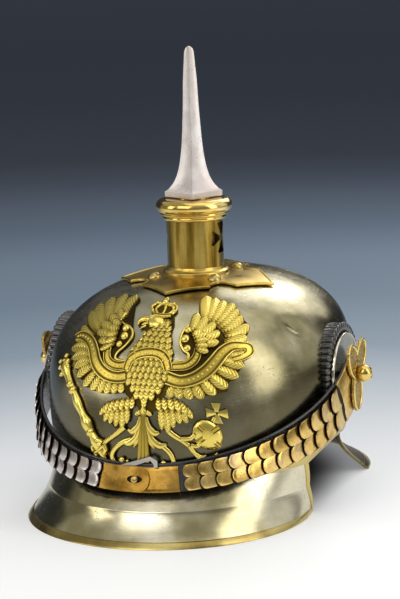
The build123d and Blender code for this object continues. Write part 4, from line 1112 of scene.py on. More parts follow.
def strap_frame(angle):
    """Place, direction along, direction up and direction outward of the strap at an angle."""
    along = (strap_point(angle + 0.5) - strap_point(angle - 0.5)).normalized()
    turn = radians(angle)
    outward = Vector((STRAP_HALF_LENGTH * sin(turn), -STRAP_HALF_WIDTH * cos(turn),
                      0)).normalized()
    lean = STRAP_LEAN * cos(turn) ** 2
    outward = outward * cos(lean) + Vector((0, 0, 1)) * sin(lean)
    outward = (outward - along * outward.dot(along)).normalized()
    return strap_point(angle), along, outward.cross(along), outward


def strap_width(angle):
    """Width of the leather at an angle round the helmet."""
    return mix(STRAP_NARROW, STRAP_WIDE, (abs(angle) / 90) ** 2.2)


def strip_point(start, end):
    """Gives a function for a strip on the strap: stations are (share across, distance out)."""
    def point(a, station):
        across, out = station
        angle = mix(start, end, a)
        at, _, up, outward = strap_frame(angle)
        reach = strap_width(angle) / 2
        return at + up * across * reach + outward * out
    return point


def round_end(side):
    """Gives a function for the strap's round end behind the pivot."""
    at, along, up, outward = strap_frame(90)
    half = STRAP_WIDE / 2

    def point(a, station):
        across, out = station
        turn = pi / 2 * a
        place = (at + along * half * sin(turn) + up * half * cos(turn) * across
                 + outward * out)
        return mirrored(place, side)
    return point


LEATHER_SECTION = ((-0.90, 0.0), (-0.915, -0.35), (-0.915, -1.25), (-0.90, -1.6), (0.0, -1.6),
                   (0.985, -1.6), (1.0, -1.25), (1.0, -0.35), (0.985, 0.0), (0.0, 0.0))
ROOT_SECTION = ((-0.98, 1.1), (-1.0, 0.9), (-1.0, 0.1), (0.0, 0.1), (1.0, 0.1), (1.0, 0.9),
                (0.98, 1.1), (0.0, 1.1))

SCALES = 12
SCALE_COLUMNS = 32
FIRST = 80.5
LAST_LEFT = 17.5
LAST_RIGHT = 11.6
LAP = 0.45
SCALE_WALL = 0.6
SCALE_INSET = 0.8
TIP_LIFT = 1.15
ROLL = 1.15
ROLL_RISE = 1.3
ROLL_SINK = 0.5
STRAP_START = 0.6
ROLL_END = 79.0


def rolled_edge(a, b, side):
    """Point of the leather's rolled upper edge, which shows above the scales."""
    angle = mix(STRAP_START, ROLL_END, a)
    at, _, up, outward = strap_frame(angle)
    ends = min(1.0, min(a, 1 - a) * 60)
    radius = ROLL * sqrt(1 - (1 - ends) ** 2) + 0.02
    rise = strap_width(angle) / 2 + ROLL_RISE - ROLL_SINK
    middle = at + up * rise - outward * ROLL_SINK
    return mirrored(middle - up * radius * cos(tau * b) + outward * radius * sin(tau * b), side)


def scale_plate(bm, angle, turn, side):
    """One brass scale, swollen a little, with its free edge cut to two lobes and turned down."""
    root, _, _, out = strap_frame(angle)
    root = root + out * GAP
    tip_at, _, _, tip_out = strap_frame(angle - turn)
    tip = tip_at + tip_out * (GAP + SCALE_WALL + TIP_LIFT)
    along = tip - root
    step = along.length
    along.normalize()
    outward = (out - along * out.dot(along)).normalized()
    up = outward.cross(along)
    length = step * (1 + LAP)
    half = (strap_width(angle) + strap_width(angle - turn)) / 4 - SCALE_INSET
    lobe = half * 0.48

    def point(a, station):
        share, depth = station
        across = 2 * a - 1
        part = abs(across) * 2 - 1
        free = length - lobe * (1 - sqrt(max(0.0, 1 - part ** 2)))
        place = free * share
        swell = 0.35 * (1 - across ** 2) * (1 - share) + 0.42 * (1 - part ** 2) * share
        rim = 1 - min(1.0, (1 - abs(across)) / 0.08)
        lift = depth + swell - 0.28 * rim ** 2
        if share > 0.93:
            lift -= 0.22
        return mirrored(root + along * place - up * across * half + outward * lift, side)

    shares = (0.0, 0.2, 0.36, 0.46, 0.55, 0.7, 0.8, 0.88, 0.95, 0.98, 1.0)
    section = two_skins(shares, SCALE_WALL, 0.0)
    # Painted shade and grime: each vertex keeps its share along the scale, and the hidden skin and
    # side edges get 0, so the finish darkens the lapped root, the underside and the edges.
    wear = bm.verts.layers.float_vector.get("wear") or bm.verts.layers.float_vector.new("wear")
    for index, vert in enumerate(walled(bm, SCALE_COLUMNS, section, point)):
        row, column = divmod(index, SCALE_COLUMNS + 1)
        share, depth = section[row % len(section)]
        shown = depth and column not in (0, SCALE_COLUMNS)
        vert[wear] = (share if shown else 0.0, 0.0, 0.0)


for side, word, last, brass in ((1, "left", LAST_LEFT, SCALE_GOLD),
                                (-1, "right", LAST_RIGHT, SCALE_MAUVE)):
    body = "chin_strap_" + word
    bm = bmesh.new()
    path = strip_point(STRAP_START, 90.0)
    walled(bm, 100, LEATHER_SECTION, lambda a, s: mirrored(path(a, s), side))
    walled(bm, 14, LEATHER_SECTION, round_end(side))
    close_up(bm)
    skin(bm, 120, 10, lambda a, b: rolled_edge(a, b, side))
    settle("strap_" + word, bm, STRAP_BLACK, "strap_leather", ["strap_leather_" + word], body)

    bm = bmesh.new()
    plate = strip_point(79.6, 90.0)
    walled(bm, 10, ROOT_SECTION, lambda a, s: mirrored(plate(a, s), side))
    walled(bm, 14, ROOT_SECTION, round_end(side))
    settle("pivot_plate_" + word, bm, brass, "brass", ["strap_root_" + word], body,
           bevel=0.15)

    bm = bmesh.new()
    turn = (FIRST - last) / (SCALES + LAP)
    for index in range(SCALES):
        scale_plate(bm, FIRST - index * turn, turn, side)
    settle("brass_scales_" + word, bm, brass, "brass", ["chin_scales_" + word], body,
           sharp=50)


# Hook plate, button and slotted tongue where the straps meet

HOOK_HALF = 8.3


def front_angle(across):
    """Angle round the helmet of a place across the front."""
    return across / radians(1) / STRAP_HALF_WIDTH


BUTTON = 2.0
HOOK_START, HOOK_END = -8.0, 31.0
HOOK_COLUMNS = 78
TONGUE_START, TONGUE_END = -22.0, 12.0
bm = bmesh.new()
wear = bm.verts.layers.float_vector.new("wear")
path = strip_point(front_angle(HOOK_START), front_angle(HOOK_END))
top = [0.96, 0.7, 0.5, 0.4, 0.3, 0.15, 0.0, -0.15, -0.3, -0.4, -0.5, -0.7, -0.96]
section = [(-0.96, 0.9), (-1.0, 0.7), (-1.0, 0.2), (-0.96, 0.1), (0.96, 0.1), (1.0, 0.2),
           (1.0, 0.7)] + [(share, 0.9) for share in top[:-1]]
narrowed = HOOK_HALF / (strap_width(5) / 2)
made = walled(bm, HOOK_COLUMNS, section, lambda a, s: path(a, (s[0] * narrowed, s[1])))
# Painted shade: an oval round the button, where the tongue's slot shows the plate, gets 0 and is
# painted dark.
for index, vert in enumerate(made):
    row, column = divmod(index, HOOK_COLUMNS + 1)
    place = mix(HOOK_START, HOOK_END, column / HOOK_COLUMNS) - BUTTON
    across = section[row % len(section)][0] * HOOK_HALF
    vert[wear] = (0.0 if hypot(place / 6.2, across / 3.4) < 1 else 1.0, 0.0, 0.0)
settle("hook_strip", bm, HOOK_BRONZE, "brass", ["hook_plate"], "chin_strap_left")

button_at, _, _, button_out = strap_frame(front_angle(BUTTON))
button = [(0.0, 0.9), (1.8, 0.9), (1.8, 2.3), (2.4, 2.35), (2.4, 2.8), (1.9, 3.2), (1.0, 3.4),
          (0.0, 3.45)]
turned_piece("hook_stud", button, square_to(button_at, button_out), 32, DULL_BRASS, "brass",
             ["hook_button"], "chin_strap_left")


def tongue():
    """Slotted brass tongue with a rounded end, bent up over the hook plate."""
    bm = bmesh.new()

    def point(a, station):
        across, out = station
        place = mix(TONGUE_START, TONGUE_END, a)
        away = max(0.0, 1 - (TONGUE_END - place) / 7.5)
        half = HOOK_HALF * sqrt(max(0.0, 1 - away ** 2.2)) + 0.05
        bend = 1 / (1 + exp(-(place + 10.6) / 0.9))
        low = mix(0.1, 1.1, bend)
        slot = sqrt(max(0.0, 1 - ((place - BUTTON) / 5.2) ** 2)) * 2.5
        if abs(across) < 0.5:
            across = (slot if across > 0 else -slot) / half
        at, _, up, outward = strap_frame(front_angle(place))
        return at + up * across * half + outward * (low if out < 0.5 else 2.2)
    for sign in (-1, 1):
        section = [(sign * share, out) for share, out in
                   ((0.3, 0), (1.0, 0), (1.0, 1), (0.3, 1))]
        walled(bm, 60, section, point)
    close_up(bm)
    return bm


settle("slotted_tongue", tongue(), HOOK_BRONZE, "brass", ["hook_tongue"], "chin_strap_right",
       bevel=0.2)


# Leather lining: sweatband, its fingers and the cord through their tips

heights = [mix(48.0, 76.0, index / 10) for index in range(11)]
wall_piece("leather_sweatband", 160, two_skins(heights, -1.5, -3.3),
           lambda a, s: dome_point(tau * a, *s), LINER_BROWN, "liner_leather", ["sweatband"],
           bevel=0.3)

FINGERS = 10
FINGER_HOLE = 33.0
FINGER_DROP = 22.0
FINGER_LOW = 100.0
FINGER_INSETS = (3.4, 4.6)
CORD_INSET = 4.9


def liner_point(turn, height, inset):
    """Point of the liner, whose crown hangs lower than the skull's."""
    return dome_point(turn, height, -inset, FINGER_DROP)


def finger_height(turn, inset):
    """Height at which the liner comes in to the ring of the fingers' tips."""
    def beyond_hole(height):
        point = liner_point(turn, height, inset)
        return hypot(point.x, point.y) > FINGER_HOLE
    return furthest(FINGER_LOW, TOP - inset - FINGER_DROP, beyond_hole, 24)


bm = bmesh.new()
heights = [mix(71.0, 86.0, index / 5) for index in range(6)]
walled(bm, 160, two_skins(heights, *FINGER_INSETS), lambda a, s: liner_point(tau * a, *s))
close_up(bm)
for finger in range(FINGERS):
    middle = tau * (finger + 0.5) / FINGERS

    def finger_point(a, station, middle=middle):
        share, inset = station
        crown = finger_height(middle, inset)
        height = mix(85.9, crown, sin(pi / 2 * share))
        point = liner_point(middle, height, inset)
        reach = max(hypot(point.x, point.y), FINGER_HOLE)
        half = pi / FINGERS - asin(min(1.0, 2.0 / reach))
        half *= 1 - 0.35 * max(0.0, share - 0.8) / 0.2
        return liner_point(middle + mix(-half, half, a), height, inset)
    strip = two_skins([index / 14 for index in range(15)], *FINGER_INSETS)
    cap_ends(bm, walled(bm, 10, strip, finger_point), 10, len(strip))
settle("leather_fingers", bm, LINER_BROWN, "liner_leather", ["liner_fingers"], bevel=0.25)

CORD_RING = 35.6


def cord_point(a, b):
    """Point of the two-strand cord that draws the fingers together."""
    turn = tau * a
    middle = liner_point(turn, finger_height(turn, CORD_INSET) - 1.0, CORD_INSET)
    radius = 0.8 + 0.25 * cos(2 * tau * b + 50 * turn)
    out = Vector((sin(turn), -cos(turn), 0))
    return (out * (CORD_RING + radius * cos(tau * b))
            + Vector((0, 0, middle.z - 1.2 + radius * sin(tau * b))))


bm = bmesh.new()
skin(bm, 400, 12, cord_point)
settle("draw_cord", bm, COTTON, "liner_cord", ["liner_cord"], sharp=80)


# Fasteners and the strap's tab, which keep their frame shapes

for finish, nodes in ((DULL_BRASS, ("base_nuts", "eagle_posts", "eagle_nuts", "rosette_nut_left",
                                    "rosette_nut_right", "spike_bush")),
                      (FITTING_STEEL, ("spike_screw", "strap_tab"))):
    for node in nodes:
        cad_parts[node].data.materials.clear()
        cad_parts[node].data.materials.append(finish)


# Stamped eagle. Its drawing is in millimetres across and up a plane that leans back, laid on
# the dome along the plane's normal. Lift is the height over the back of the stamping.

LEAN = radians(28.0)
EAGLE_MIDDLE = Vector((0.0, -112.0, 98.0))
EAGLE_UP = Vector((0.0, sin(LEAN), cos(LEAN)))
EAGLE_OUT = Vector((0.0, -cos(LEAN), sin(LEAN)))
EAGLE_SEAT = 0.5
EAGLE_DROPS = (-70.0, 30.0)
NET = 2.5
NET_ACROSS = range(-29, 30)
NET_UP = range(-21, 34)


def drop_to_dome(across, up):
    """Distance along the plane's normal from the plane to the dome."""
    flat = EAGLE_MIDDLE + Vector((across, 0, 0)) + EAGLE_UP * up

    def inside(drop):
        point = flat + EAGLE_OUT * drop
        outline = dome_outline(point.z, EAGLE_SEAT)
        return (point.z < TOP + EAGLE_SEAT and outline[0] > 0
                and oval_share(point.x, point.y, outline) < 1)
    return furthest(*EAGLE_DROPS, inside, 22)


net = {(i, j): drop_to_dome(i * NET, j * NET) for i in NET_ACROSS for j in NET_UP}


def laid(across, up, lift):
    """Point of the stamping at a place on its drawing and a lift."""
    i = max(NET_ACROSS[0], min(NET_ACROSS[-2], int(across // NET)))
    j = max(NET_UP[0], min(NET_UP[-2], int(up // NET)))
    right, over = across / NET - i, up / NET - j
    drop = mix(mix(net[i, j], net[i + 1, j], right),
               mix(net[i, j + 1], net[i + 1, j + 1], right), over)
    flat = EAGLE_MIDDLE + Vector((across, 0, 0)) + EAGLE_UP * up
    point = flat + EAGLE_OUT * drop
    return point + dome_normal(point) * lift


stamping = bmesh.new()
relief = stamping.verts.layers.float_vector.new("relief")


def stamp(across, along, place):
    """Part of the stamping: place gives (across, up, lift, length, width) for two shares."""
    made = bmesh.ops.create_grid(stamping, x_segments=across, y_segments=along,
                                 size=0.5)["verts"]
    for vert in made:
        x, y, lift, length, width = place(vert.co.x + 0.5, vert.co.y + 0.5)
        vert.co = laid(x, y, lift)
        vert[relief] = (length, width, lift)
    return made


FEATHER_ACROSS = (-1.0, -0.98, -0.7, -0.35, -0.06, 0.06, 0.35, 0.7, 0.98, 1.0)
FEATHER_LIFT = (-1.0, 0.0, 0.5, 0.8, 0.78, 0.78, 0.8, 0.5, 0.0, -1.0)
FEATHER_BRIGHT = {1.0: 0.1, 0.98: 0.2, 0.7: 1.3, 0.35: 1.5, 0.06: 2.0}
FEATHER_SHARE = 1.12
FEATHER_ALONG = (0.0, 0.15, 0.35, 0.55, 0.7, 0.82, 0.91, 0.97, 1.0, 1.0)


def feather(base, tip, width, low=0.9, high=1.7, bow=0.0, swell=0.42, point=0.3, root=0.7):
    """Feather from its base to its round tip, swollen across and ridged along its quill."""
    start, end = Vector(base), Vector(tip)
    line = end - start
    length = line.length
    side = Vector((-line.y, line.x)) / length

    def place(a, b):
        across = FEATHER_ACROSS[round(a * 9)]
        share = FEATHER_ALONG[round(b * 9)]
        last = round(b * 9) == 9
        taper = mix(root, 1.0, min(1.0, share / 0.5))
        if share > 1 - point:
            taper *= sqrt(max(0.0, 1 - ((share - 1 + point) / point) ** 2))
        half = FEATHER_SHARE * width / 2 * max(taper, 0.06)
        middle = start + line * share + side * bow * sin(pi * share)
        at = middle + side * across * half
        lift = mix(low, high, share) + FEATHER_LIFT[round(a * 9)] * swell
        if abs(across) < 0.1:
            lift += 0.12
        if abs(across) == 1.0 or last:
            lift = 0.0
        return at.x, at.y, lift, share * length, across * half
    made = stamp(9, 9, place)
    for index, vert in enumerate(made):
        across, share = abs(FEATHER_ACROSS[index % 10]), FEATHER_ALONG[index // 10]
        bright = FEATHER_BRIGHT[across] * min(1.0, 0.35 + share * 1.6)
        vert[relief] = (vert[relief].x, vert[relief].y, bright)
    return made


def fan(bases, tips, widths, **shape):
    """Row of feathers that overlap one after the other."""
    for base, tip, width in zip(bases, tips, widths):
        feather(base, tip, width, **shape)


def line_along(points, sizes, count):
    """Places along a smooth line, each with its sideways direction and its size."""
    path = smooth_path([(x, y, 0) for x, y in points], count)
    sizes = smooth_path([(size, 0, 0) for size in sizes], count)
    line = []
    for index in range(count + 1):
        ahead = path[min(index + 1, count)] - path[max(index - 1, 0)]
        line.append((path[index], Vector((-ahead.y, ahead.x, 0)).normalized(), sizes[index].x))
    return line


def tube(points, radii, lift=1.0, count=24, squash=0.8, bright=1.0):
    """Round bar laid along a line on the stamping, as thick as radii say along it."""
    line = line_along(points, radii, count)

    def place(a, b):
        at, side, size = line[round(b * count)]
        radius = max(size, 0.05)
        turn = pi * a
        spot = at + side * radius * cos(turn)
        height = lift + radius * squash * sin(turn) if 0 < a < 1 else 0.0
        return spot.x, spot.y, height, 0.0, 0.0
    made = stamp(8, count, place)
    for vert in made:
        vert[relief].z *= bright
    return made


def boss(at, radius, lift=0.8, rise=None, long=1.0, turn=0.0):
    """Round or oval swelling on the stamping."""
    rise = radius * 0.8 if rise is None else rise

    def place(a, b):
        reach = (1.0, 1.0, 0.92, 0.75, 0.5, 0.25, 0.02)[round(b * 6)]
        height = 0.0 if b < 0.1 else lift + rise * sqrt(max(0.0, 1 - reach ** 2))
        x, y = reach * radius * long * cos(tau * a), reach * radius * sin(tau * a)
        return *rotated(x, y, turn, at), height, 0.0, 0.0
    return stamp(16 if radius > 1.2 else 8, 6, place)


RIBBON_ACROSS = (-1.0, -1.0, -0.93, -0.84, -0.76, -0.3, 0.3, 0.76, 0.84, 0.93, 1.0, 1.0)
RIBBON_BRIGHT = (0.1, 1.2, 2.0, 1.8, 0.3, 1.25, 1.25, 0.3, 1.8, 2.0, 1.2, 0.1)
RIBBON_LIFT = (None, 0.5, 0.75, 0.75, 0.3, 0.25, 0.25, 0.3, 0.75, 0.75, 0.5, None)


def ribbon(points, widths, lift=1.7, count=40, beads=0, bead=0.55):
    """Bordered ribbon across the stamping, bare or with a row of beads between its borders."""
    line = line_along(points, widths, count)

    def place(a, b):
        middle, side, width = line[round(b * count)]
        at = middle + side * RIBBON_ACROSS[round(a * 11)] * width / 2
        over = RIBBON_LIFT[round(a * 11)]
        height = 0.0 if over is None else lift + over
        return at.x, at.y, height, 0.0, 0.0
    for index, vert in enumerate(stamp(11, count, place)):
        vert[relief].z = RIBBON_BRIGHT[index % 12]
    for index in range(beads):
        at = line[round(mix(2, count - 2, (index + 0.5) / beads))][0]
        boss((at.x, at.y), bead, lift + 0.15, bead * 0.8)


def ground(points, lift=0.7, reach=4.0):
    """Flat ground of the stamping inside an outline."""
    before = set(stamping.faces)

    def own():
        return [part for part in stamping.faces if part not in before]
    stamping.faces.new([stamping.verts.new((x, y, 0)) for x, y in points])
    bmesh.ops.triangulate(stamping, faces=own())
    for _ in range(5):
        edges = {edge for part in own() for edge in part.edges if edge.calc_length() > reach}
        if not edges:
            break
        bmesh.ops.subdivide_edges(stamping, edges=list(edges), cuts=1)
        bmesh.ops.triangulate(stamping, faces=own())
    base = {vert for part in own() for vert in part.verts}
    top = bmesh.ops.extrude_face_region(stamping, geom=own())["geom"]
    raised = {item for item in top if isinstance(item, bmesh.types.BMVert)}
    for vert in {item for item in base if item.is_valid} | raised:
        height = lift if vert in raised else 0.0
        vert.co = laid(vert.co.x, vert.co.y, height)
        vert[relief] = (0.0, 0.0, height * 0.4)


SPAN = 65.0
RISE = 75.0
WING_RIGHT = (
    (-0.308, 0.950), (-0.446, 0.960), (-0.600, 0.920), (-0.738, 0.840), (-0.780, 0.760),
    (-0.780, 0.607), (-0.850, 0.507), (-0.840, 0.373), (-0.740, 0.213), (-0.680, 0.103),
    (-0.446, 0.003), (-0.277, -0.010), (-0.092, 0.003), (-0.108, 0.160), (-0.131, 0.227),
    (-0.169, 0.267), (-0.277, 0.280), (-0.277, 0.333), (-0.185, 0.413), (-0.146, 0.507),
    (-0.215, 0.587), (-0.308, 0.680), (-0.346, 0.760),
)
WING_LEFT = (
    (0.440, 0.960), (0.640, 0.920), (0.740, 0.860), (0.900, 0.760), (0.910, 0.700),
    (0.970, 0.520), (0.950, 0.287), (0.870, 0.160), (0.870, 0.093), (0.715, 0.030),
    (0.523, -0.010), (0.277, -0.020), (0.308, 0.240), (0.338, 0.267), (0.415, 0.267),
    (0.477, 0.333), (0.369, 0.480), (0.385, 0.600), (0.438, 0.747), (0.470, 0.760),
)
BODY = (
    (-0.015, 0.713), (-0.046, 0.660), (-0.060, 0.600), (0.023, 0.493), (-0.031, 0.400),
    (-0.085, 0.347), (-0.123, 0.273), (-0.138, 0.200), (-0.138, 0.067), (-0.108, -0.040),
    (0.000, -0.107), (0.077, -0.200), (0.215, -0.160), (0.292, -0.053), (0.331, 0.067),
    (0.346, 0.240), (0.315, 0.307), (0.277, 0.400), (0.262, 0.493), (0.262, 0.627),
    (0.231, 0.713),
)
for outline in (WING_RIGHT, WING_LEFT, BODY):
    ground([(x * SPAN, y * RISE) for x, y in outline])

# Wing on the wearer's right: long quills, side feathers, the lower row, then the coverts
feather((-21, 48), (-20.5, 71.0), 11.0, 0.9, 1.3, bow=3.0)
feather((-25, 46), (-30.5, 72.5), 10.5, 1.0, 1.6, bow=2.0)
feather((-28.5, 45), (-40.0, 70.0), 10.5, 1.1, 1.9, bow=2.0)
feather((-32, 42), (-47.5, 65.0), 9.5, 1.2, 2.1, bow=2.0)
feather((-35, 40), (-51.0, 58.0), 8.5, 1.3, 2.2, bow=1.0)
feather((-40, 37), (-53.0, 46.0), 7.5, 0.9, 1.8, bow=2.0)
fan([(-40, 33), (-39, 28), (-38, 23.5), (-36.5, 19.5), (-34.5, 16)],
    [(-56, 37.5), (-57, 30), (-54.0, 23.0), (-50.5, 16.5), (-47, 9.5)],
    [7.4, 7.6, 7.4, 7.0, 6.6], low=0.9, high=1.7, bow=-1.0)
fan([(-31, 13), (-27, 9.5), (-23, 7.5), (-19, 6), (-15, 5.2), (-11, 5)],
    [(-40.5, 2.8), (-33.5, 0.0), (-27.6, -1.8), (-21.6, -2.5), (-15.8, -2.6), (-10, -2.2)],
    [6.2, 6.0, 5.8, 5.6, 5.4, 5.0], low=0.9, high=1.5)
fan([(-19, 49), (-20.5, 46), (-21.5, 42.5), (-21.5, 39), (-21, 35.5)],
    [(-25.5, 56.5), (-31.0, 52.5), (-36.0, 46.5), (-36.5, 39.5), (-33.0, 32.5)],
    [5.6, 6.2, 6.4, 6.4, 6.0], low=1.6, high=2.5, bow=0.8)
fan([(-19.5, 44), (-19.5, 41), (-19.5, 38), (-19.5, 34.5), (-20, 31)],
    [(-27.0, 47.5), (-28.5, 42.5), (-28.5, 37.0), (-27.0, 31.5), (-29.5, 26.0)],
    [4.8, 5.0, 5.0, 4.8, 4.4], low=2.1, high=2.9)

# Wing on the wearer's left
fan([(35, 51), (37, 51), (39.5, 50.5), (42, 50), (44.5, 48), (47, 46), (49.5, 43), (50, 39)],
    [(27.8, 72.5), (33.8, 72.0), (39.6, 70.5), (45.8, 69.5), (50.0, 65.0), (54.5, 60.0),
     (60.0, 54.0), (61.0, 45.5)],
    [8.2, 7.8, 7.6, 7.6, 7.4, 7.4, 7.8, 7.2], low=1.0, high=1.9, bow=-1.2)
fan([(51, 31), (50, 27), (48, 21), (45, 16), (41, 12), (37, 8.5), (33, 6.5), (29, 5.5),
     (25.5, 5)],
    [(63.5, 33.0), (63.5, 25.5), (61.5, 17.5), (56.0, 9.0), (49.5, 3.2), (42.5, -0.6),
     (35.5, -2.2), (28.8, -2.6), (22.6, -2.6)],
    [7.2, 7.4, 7.2, 7.0, 6.8, 6.4, 6.2, 6.0, 5.4], low=0.9, high=1.6, bow=-0.6)
fan([(29, 42), (31, 41.5), (33, 40.5), (34.5, 38.5), (35.5, 36)],
    [(28.8, 56.5), (35.0, 54.0), (41.5, 50.5), (46.0, 44.5), (47.0, 37.5)],
    [5.8, 6.2, 6.6, 6.6, 6.2], low=1.6, high=2.5, bow=-0.8)
fan([(31, 39), (32, 37.5), (33, 35.5), (34, 33), (35, 30.5)],
    [(35.0, 44.5), (38.5, 42.0), (40.5, 38.0), (41.5, 33.5), (42.5, 29.5)],
    [4.6, 4.8, 4.8, 4.6, 4.2], low=2.1, high=2.9)

# Shoulders: a bordered edge, a chain of bosses and the leafy band inside each wing
tube([(-22.5, 55), (-21.8, 49.5), (-18.8, 46), (-12.9, 43.2), (-9.6, 39.5), (-9.2, 34.7),
      (-12, 29.5), (-16.7, 24.6), (-17.5, 20.5), (-12.5, 19.0), (-8.5, 19.5)],
     (0.4, 0.7) + (0.8,) * 8 + (0.6,), 1.2, 60)
for at, radius in (((-15.6, 42.2), 2.6), ((-14.6, 36.3), 2.9), ((-16.9, 30.4), 2.3)):
    boss(at, radius, 1.1)
boss((-21.0, 51.5), 1.8, 1.1, long=2.4, turn=radians(80))
ribbon([(-8.2, 16.2), (-13.2, 15.3), (-18.2, 16.2), (-22.6, 19.1), (-24.4, 24.1),
        (-23.8, 28.6), (-21.0, 32.0)], (6.0, 6.0, 6.0, 6.0, 5.4, 4.4, 3.0), 1.5, 40, 10, 0.8)
tube([(28.7, 55.1), (27, 47.9), (24.5, 44.2), (23.7, 38.7), (24.5, 33.6), (27.7, 28.9),
      (31.2, 26.5), (30.5, 22.5), (26.0, 21.2), (21.5, 19.5)],
     (0.4, 0.7) + (0.8,) * 7 + (0.6,), 1.2, 60)
for at, radius in (((26.9, 43.6), 2.3), ((26.9, 37.0), 2.9), ((29.6, 30.6), 2.4)):
    boss(at, radius, 1.1)
ribbon([(21.2, 16.6), (25.8, 17.2), (30.9, 18.6), (34.7, 22.1), (36.3, 26.7), (35.6, 31.5)],
       (5.0, 5.4, 5.6, 5.6, 5.0, 3.4), 1.5, 40, 10, 0.8)

# The long ribbon, in two halves, and its turned end
ribbon([(-7.5, 8.6), (-13.5, 7.8), (-20.4, 9.1), (-27.0, 13.0), (-31.8, 18.6), (-35.2, 25.5),
        (-39.5, 32.0), (-45.5, 36.6), (-51.5, 38.6), (-55.0, 37.2)],
       (8.4, 8.0, 8.4, 8.6, 8.6, 8.2, 7.6, 6.8, 6.2, 5.2), 2.0, 60, 18, 0.75)
ribbon([(20.2, 9.4), (28.6, 8.0), (36.6, 11.0), (43.0, 16.8), (47.2, 23.8), (50.6, 31.2),
        (54.8, 36.4), (60.0, 37.9)],
       (8.6, 8.2, 8.4, 8.6, 8.4, 8.0, 7.0, 6.4), 2.0, 60, 17, 0.75)
ribbon([(59.4, 38.2), (63.2, 38.6), (64.6, 35.2), (61.8, 31.0), (57.0, 27.8)],
       (5.6, 5.6, 5.2, 4.6, 4.0), 1.6, 30)

# Breast: rows of small feathers, and the arched ribbon over them
for row in range(13):
    up = 47.0 - row * 4.1
    left = (3.5, 3.0, 1.5, -0.5, -3.0, -5.0, -7.0, -7.2, -7.2, -6.8, -6.0, -3.5, 0.0)[row]
    right = (15.0, 15.8, 17.0, 18.0, 19.5, 20.5, 21.5, 21.5, 20.8, 19.8, 18.6, 16.5, 13.5)[row]
    count = max(3, round((right - left) / 3.6))
    for index in range(count):
        x = mix(left + 1.6, right - 1.6, (index + (0.25 if row % 2 else 0.0)) / (count - 0.75))
        feather((x, up + 2.4), (x + (x - 6.5) * 0.10, up - 3.4), 4.3, 1.8, 2.5, swell=0.6,
                point=0.45, root=0.85)
for x, y in ((13.6, 49.5), (14.8, 45.5), (15.8, 41.5), (16.8, 37.5), (18.0, 33.5)):
    feather((x - 3.2, y), (x + 1.6, y - 3.0), 3.2, 1.6, 1.9, point=0.8)
for x, y in ((0.6, 40.0), (-0.8, 36.0), (-3.2, 32.5), (-5.4, 29.0)):
    feather((x + 3.0, y), (x - 2.0, y - 3.2), 3.2, 1.6, 1.9, point=0.8)
ribbon([(-7.2, 12.6), (-5.6, 18.6), (-0.8, 22.8), (6.0, 24.6), (12.8, 24.2), (17.8, 20.6),
        (20.6, 14.2)], (5.0, 6.2, 6.8, 7.0, 6.8, 6.4, 5.4), 2.6, 44, 13, 0.75)
feather((6.6, 1.0), (6.4, -11.5), 5.0, 2.0, 1.8, point=0.9)

# Head with its hooked beak, turned to the wearer's right, and the crown on it
boss((4.6, 47.2), 4.6, 1.8, 2.4, 1.35, radians(-15))
tube([(1.0, 49.4), (-2.5, 49.8), (-5.8, 48.9), (-7.4, 46.6), (-7.0, 44.6)],
     (2.4, 2.1, 1.7, 1.1, 0.3), 1.8, 20)
tube([(1.2, 46.6), (-2.0, 46.2), (-4.6, 45.0)], (1.5, 1.1, 0.4), 1.4, 12)
tube([(-1.5, 44.6), (-3.4, 43.2), (-5.0, 41.6)], (0.9, 0.6, 0.2), 1.4, 10)
boss((1.4, 48.8), 0.9, 3.6, 0.7)
tube([(3.2, 50.6), (0.6, 50.6), (-1.0, 49.6)], (0.7, 0.7, 0.3), 3.2, 12)
for x, y, tip_x, tip_y in ((6.0, 48.5, 2.4, 42.2), (8.5, 48.5, 5.8, 41.5),
                           (10.8, 48.5, 9.6, 41.5), (12.4, 49.0, 13.4, 42.0)):
    feather((x, y), (tip_x, tip_y), 3.6, 2.4, 3.0, point=0.6)
ribbon([(1.0, 52.6), (5.0, 51.9), (9.2, 51.9), (13.0, 52.7)], (3.0, 3.2, 3.2, 3.0), 2.2, 20,
       7, 0.7)
for points in (((0.8, 54.2), (-2.5, 58.1), (-2.0, 62.0), (1.2, 63.5), (3.9, 62.6)),
               ((3.4, 53.9), (0.7, 57.8), (1.5, 61.1), (3.9, 62.6)),
               ((6.8, 53.7), (6.9, 57.6), (6.1, 60.9), (4.2, 62.6)),
               ((10.3, 53.9), (12.5, 57.6), (10.3, 61.3), (4.7, 62.8)),
               ((12.8, 54.4), (14.4, 58.5), (11.7, 62.6), (5.2, 63.3))):
    tube(points, (0.75, 0.75, 0.75, 0.7, 0.5)[:len(points)], 1.6, 22)
for at in ((-2.8, 60.2), (-0.6, 63.2), (1.3, 59.4), (6.8, 59.2), (12.0, 59.6), (10.9, 62.8),
           (13.6, 56.6), (-1.1, 56.6)):
    boss(at, 1.0, 2.0, 0.8)
ground([(0.8, 53.3), (-1.9, 58.1), (-1.4, 61.7), (4.2, 63.5), (10.9, 62.0), (13.5, 57.9),
        (12.8, 53.3)], 0.9)
boss((4.0, 64.6), 2.2, 1.4, 1.8)
for at in ((3.9, 68.2), (2.9, 67.1), (4.8, 67.1), (3.9, 66.5)):
    boss(at, 0.85, 1.4, 0.8)

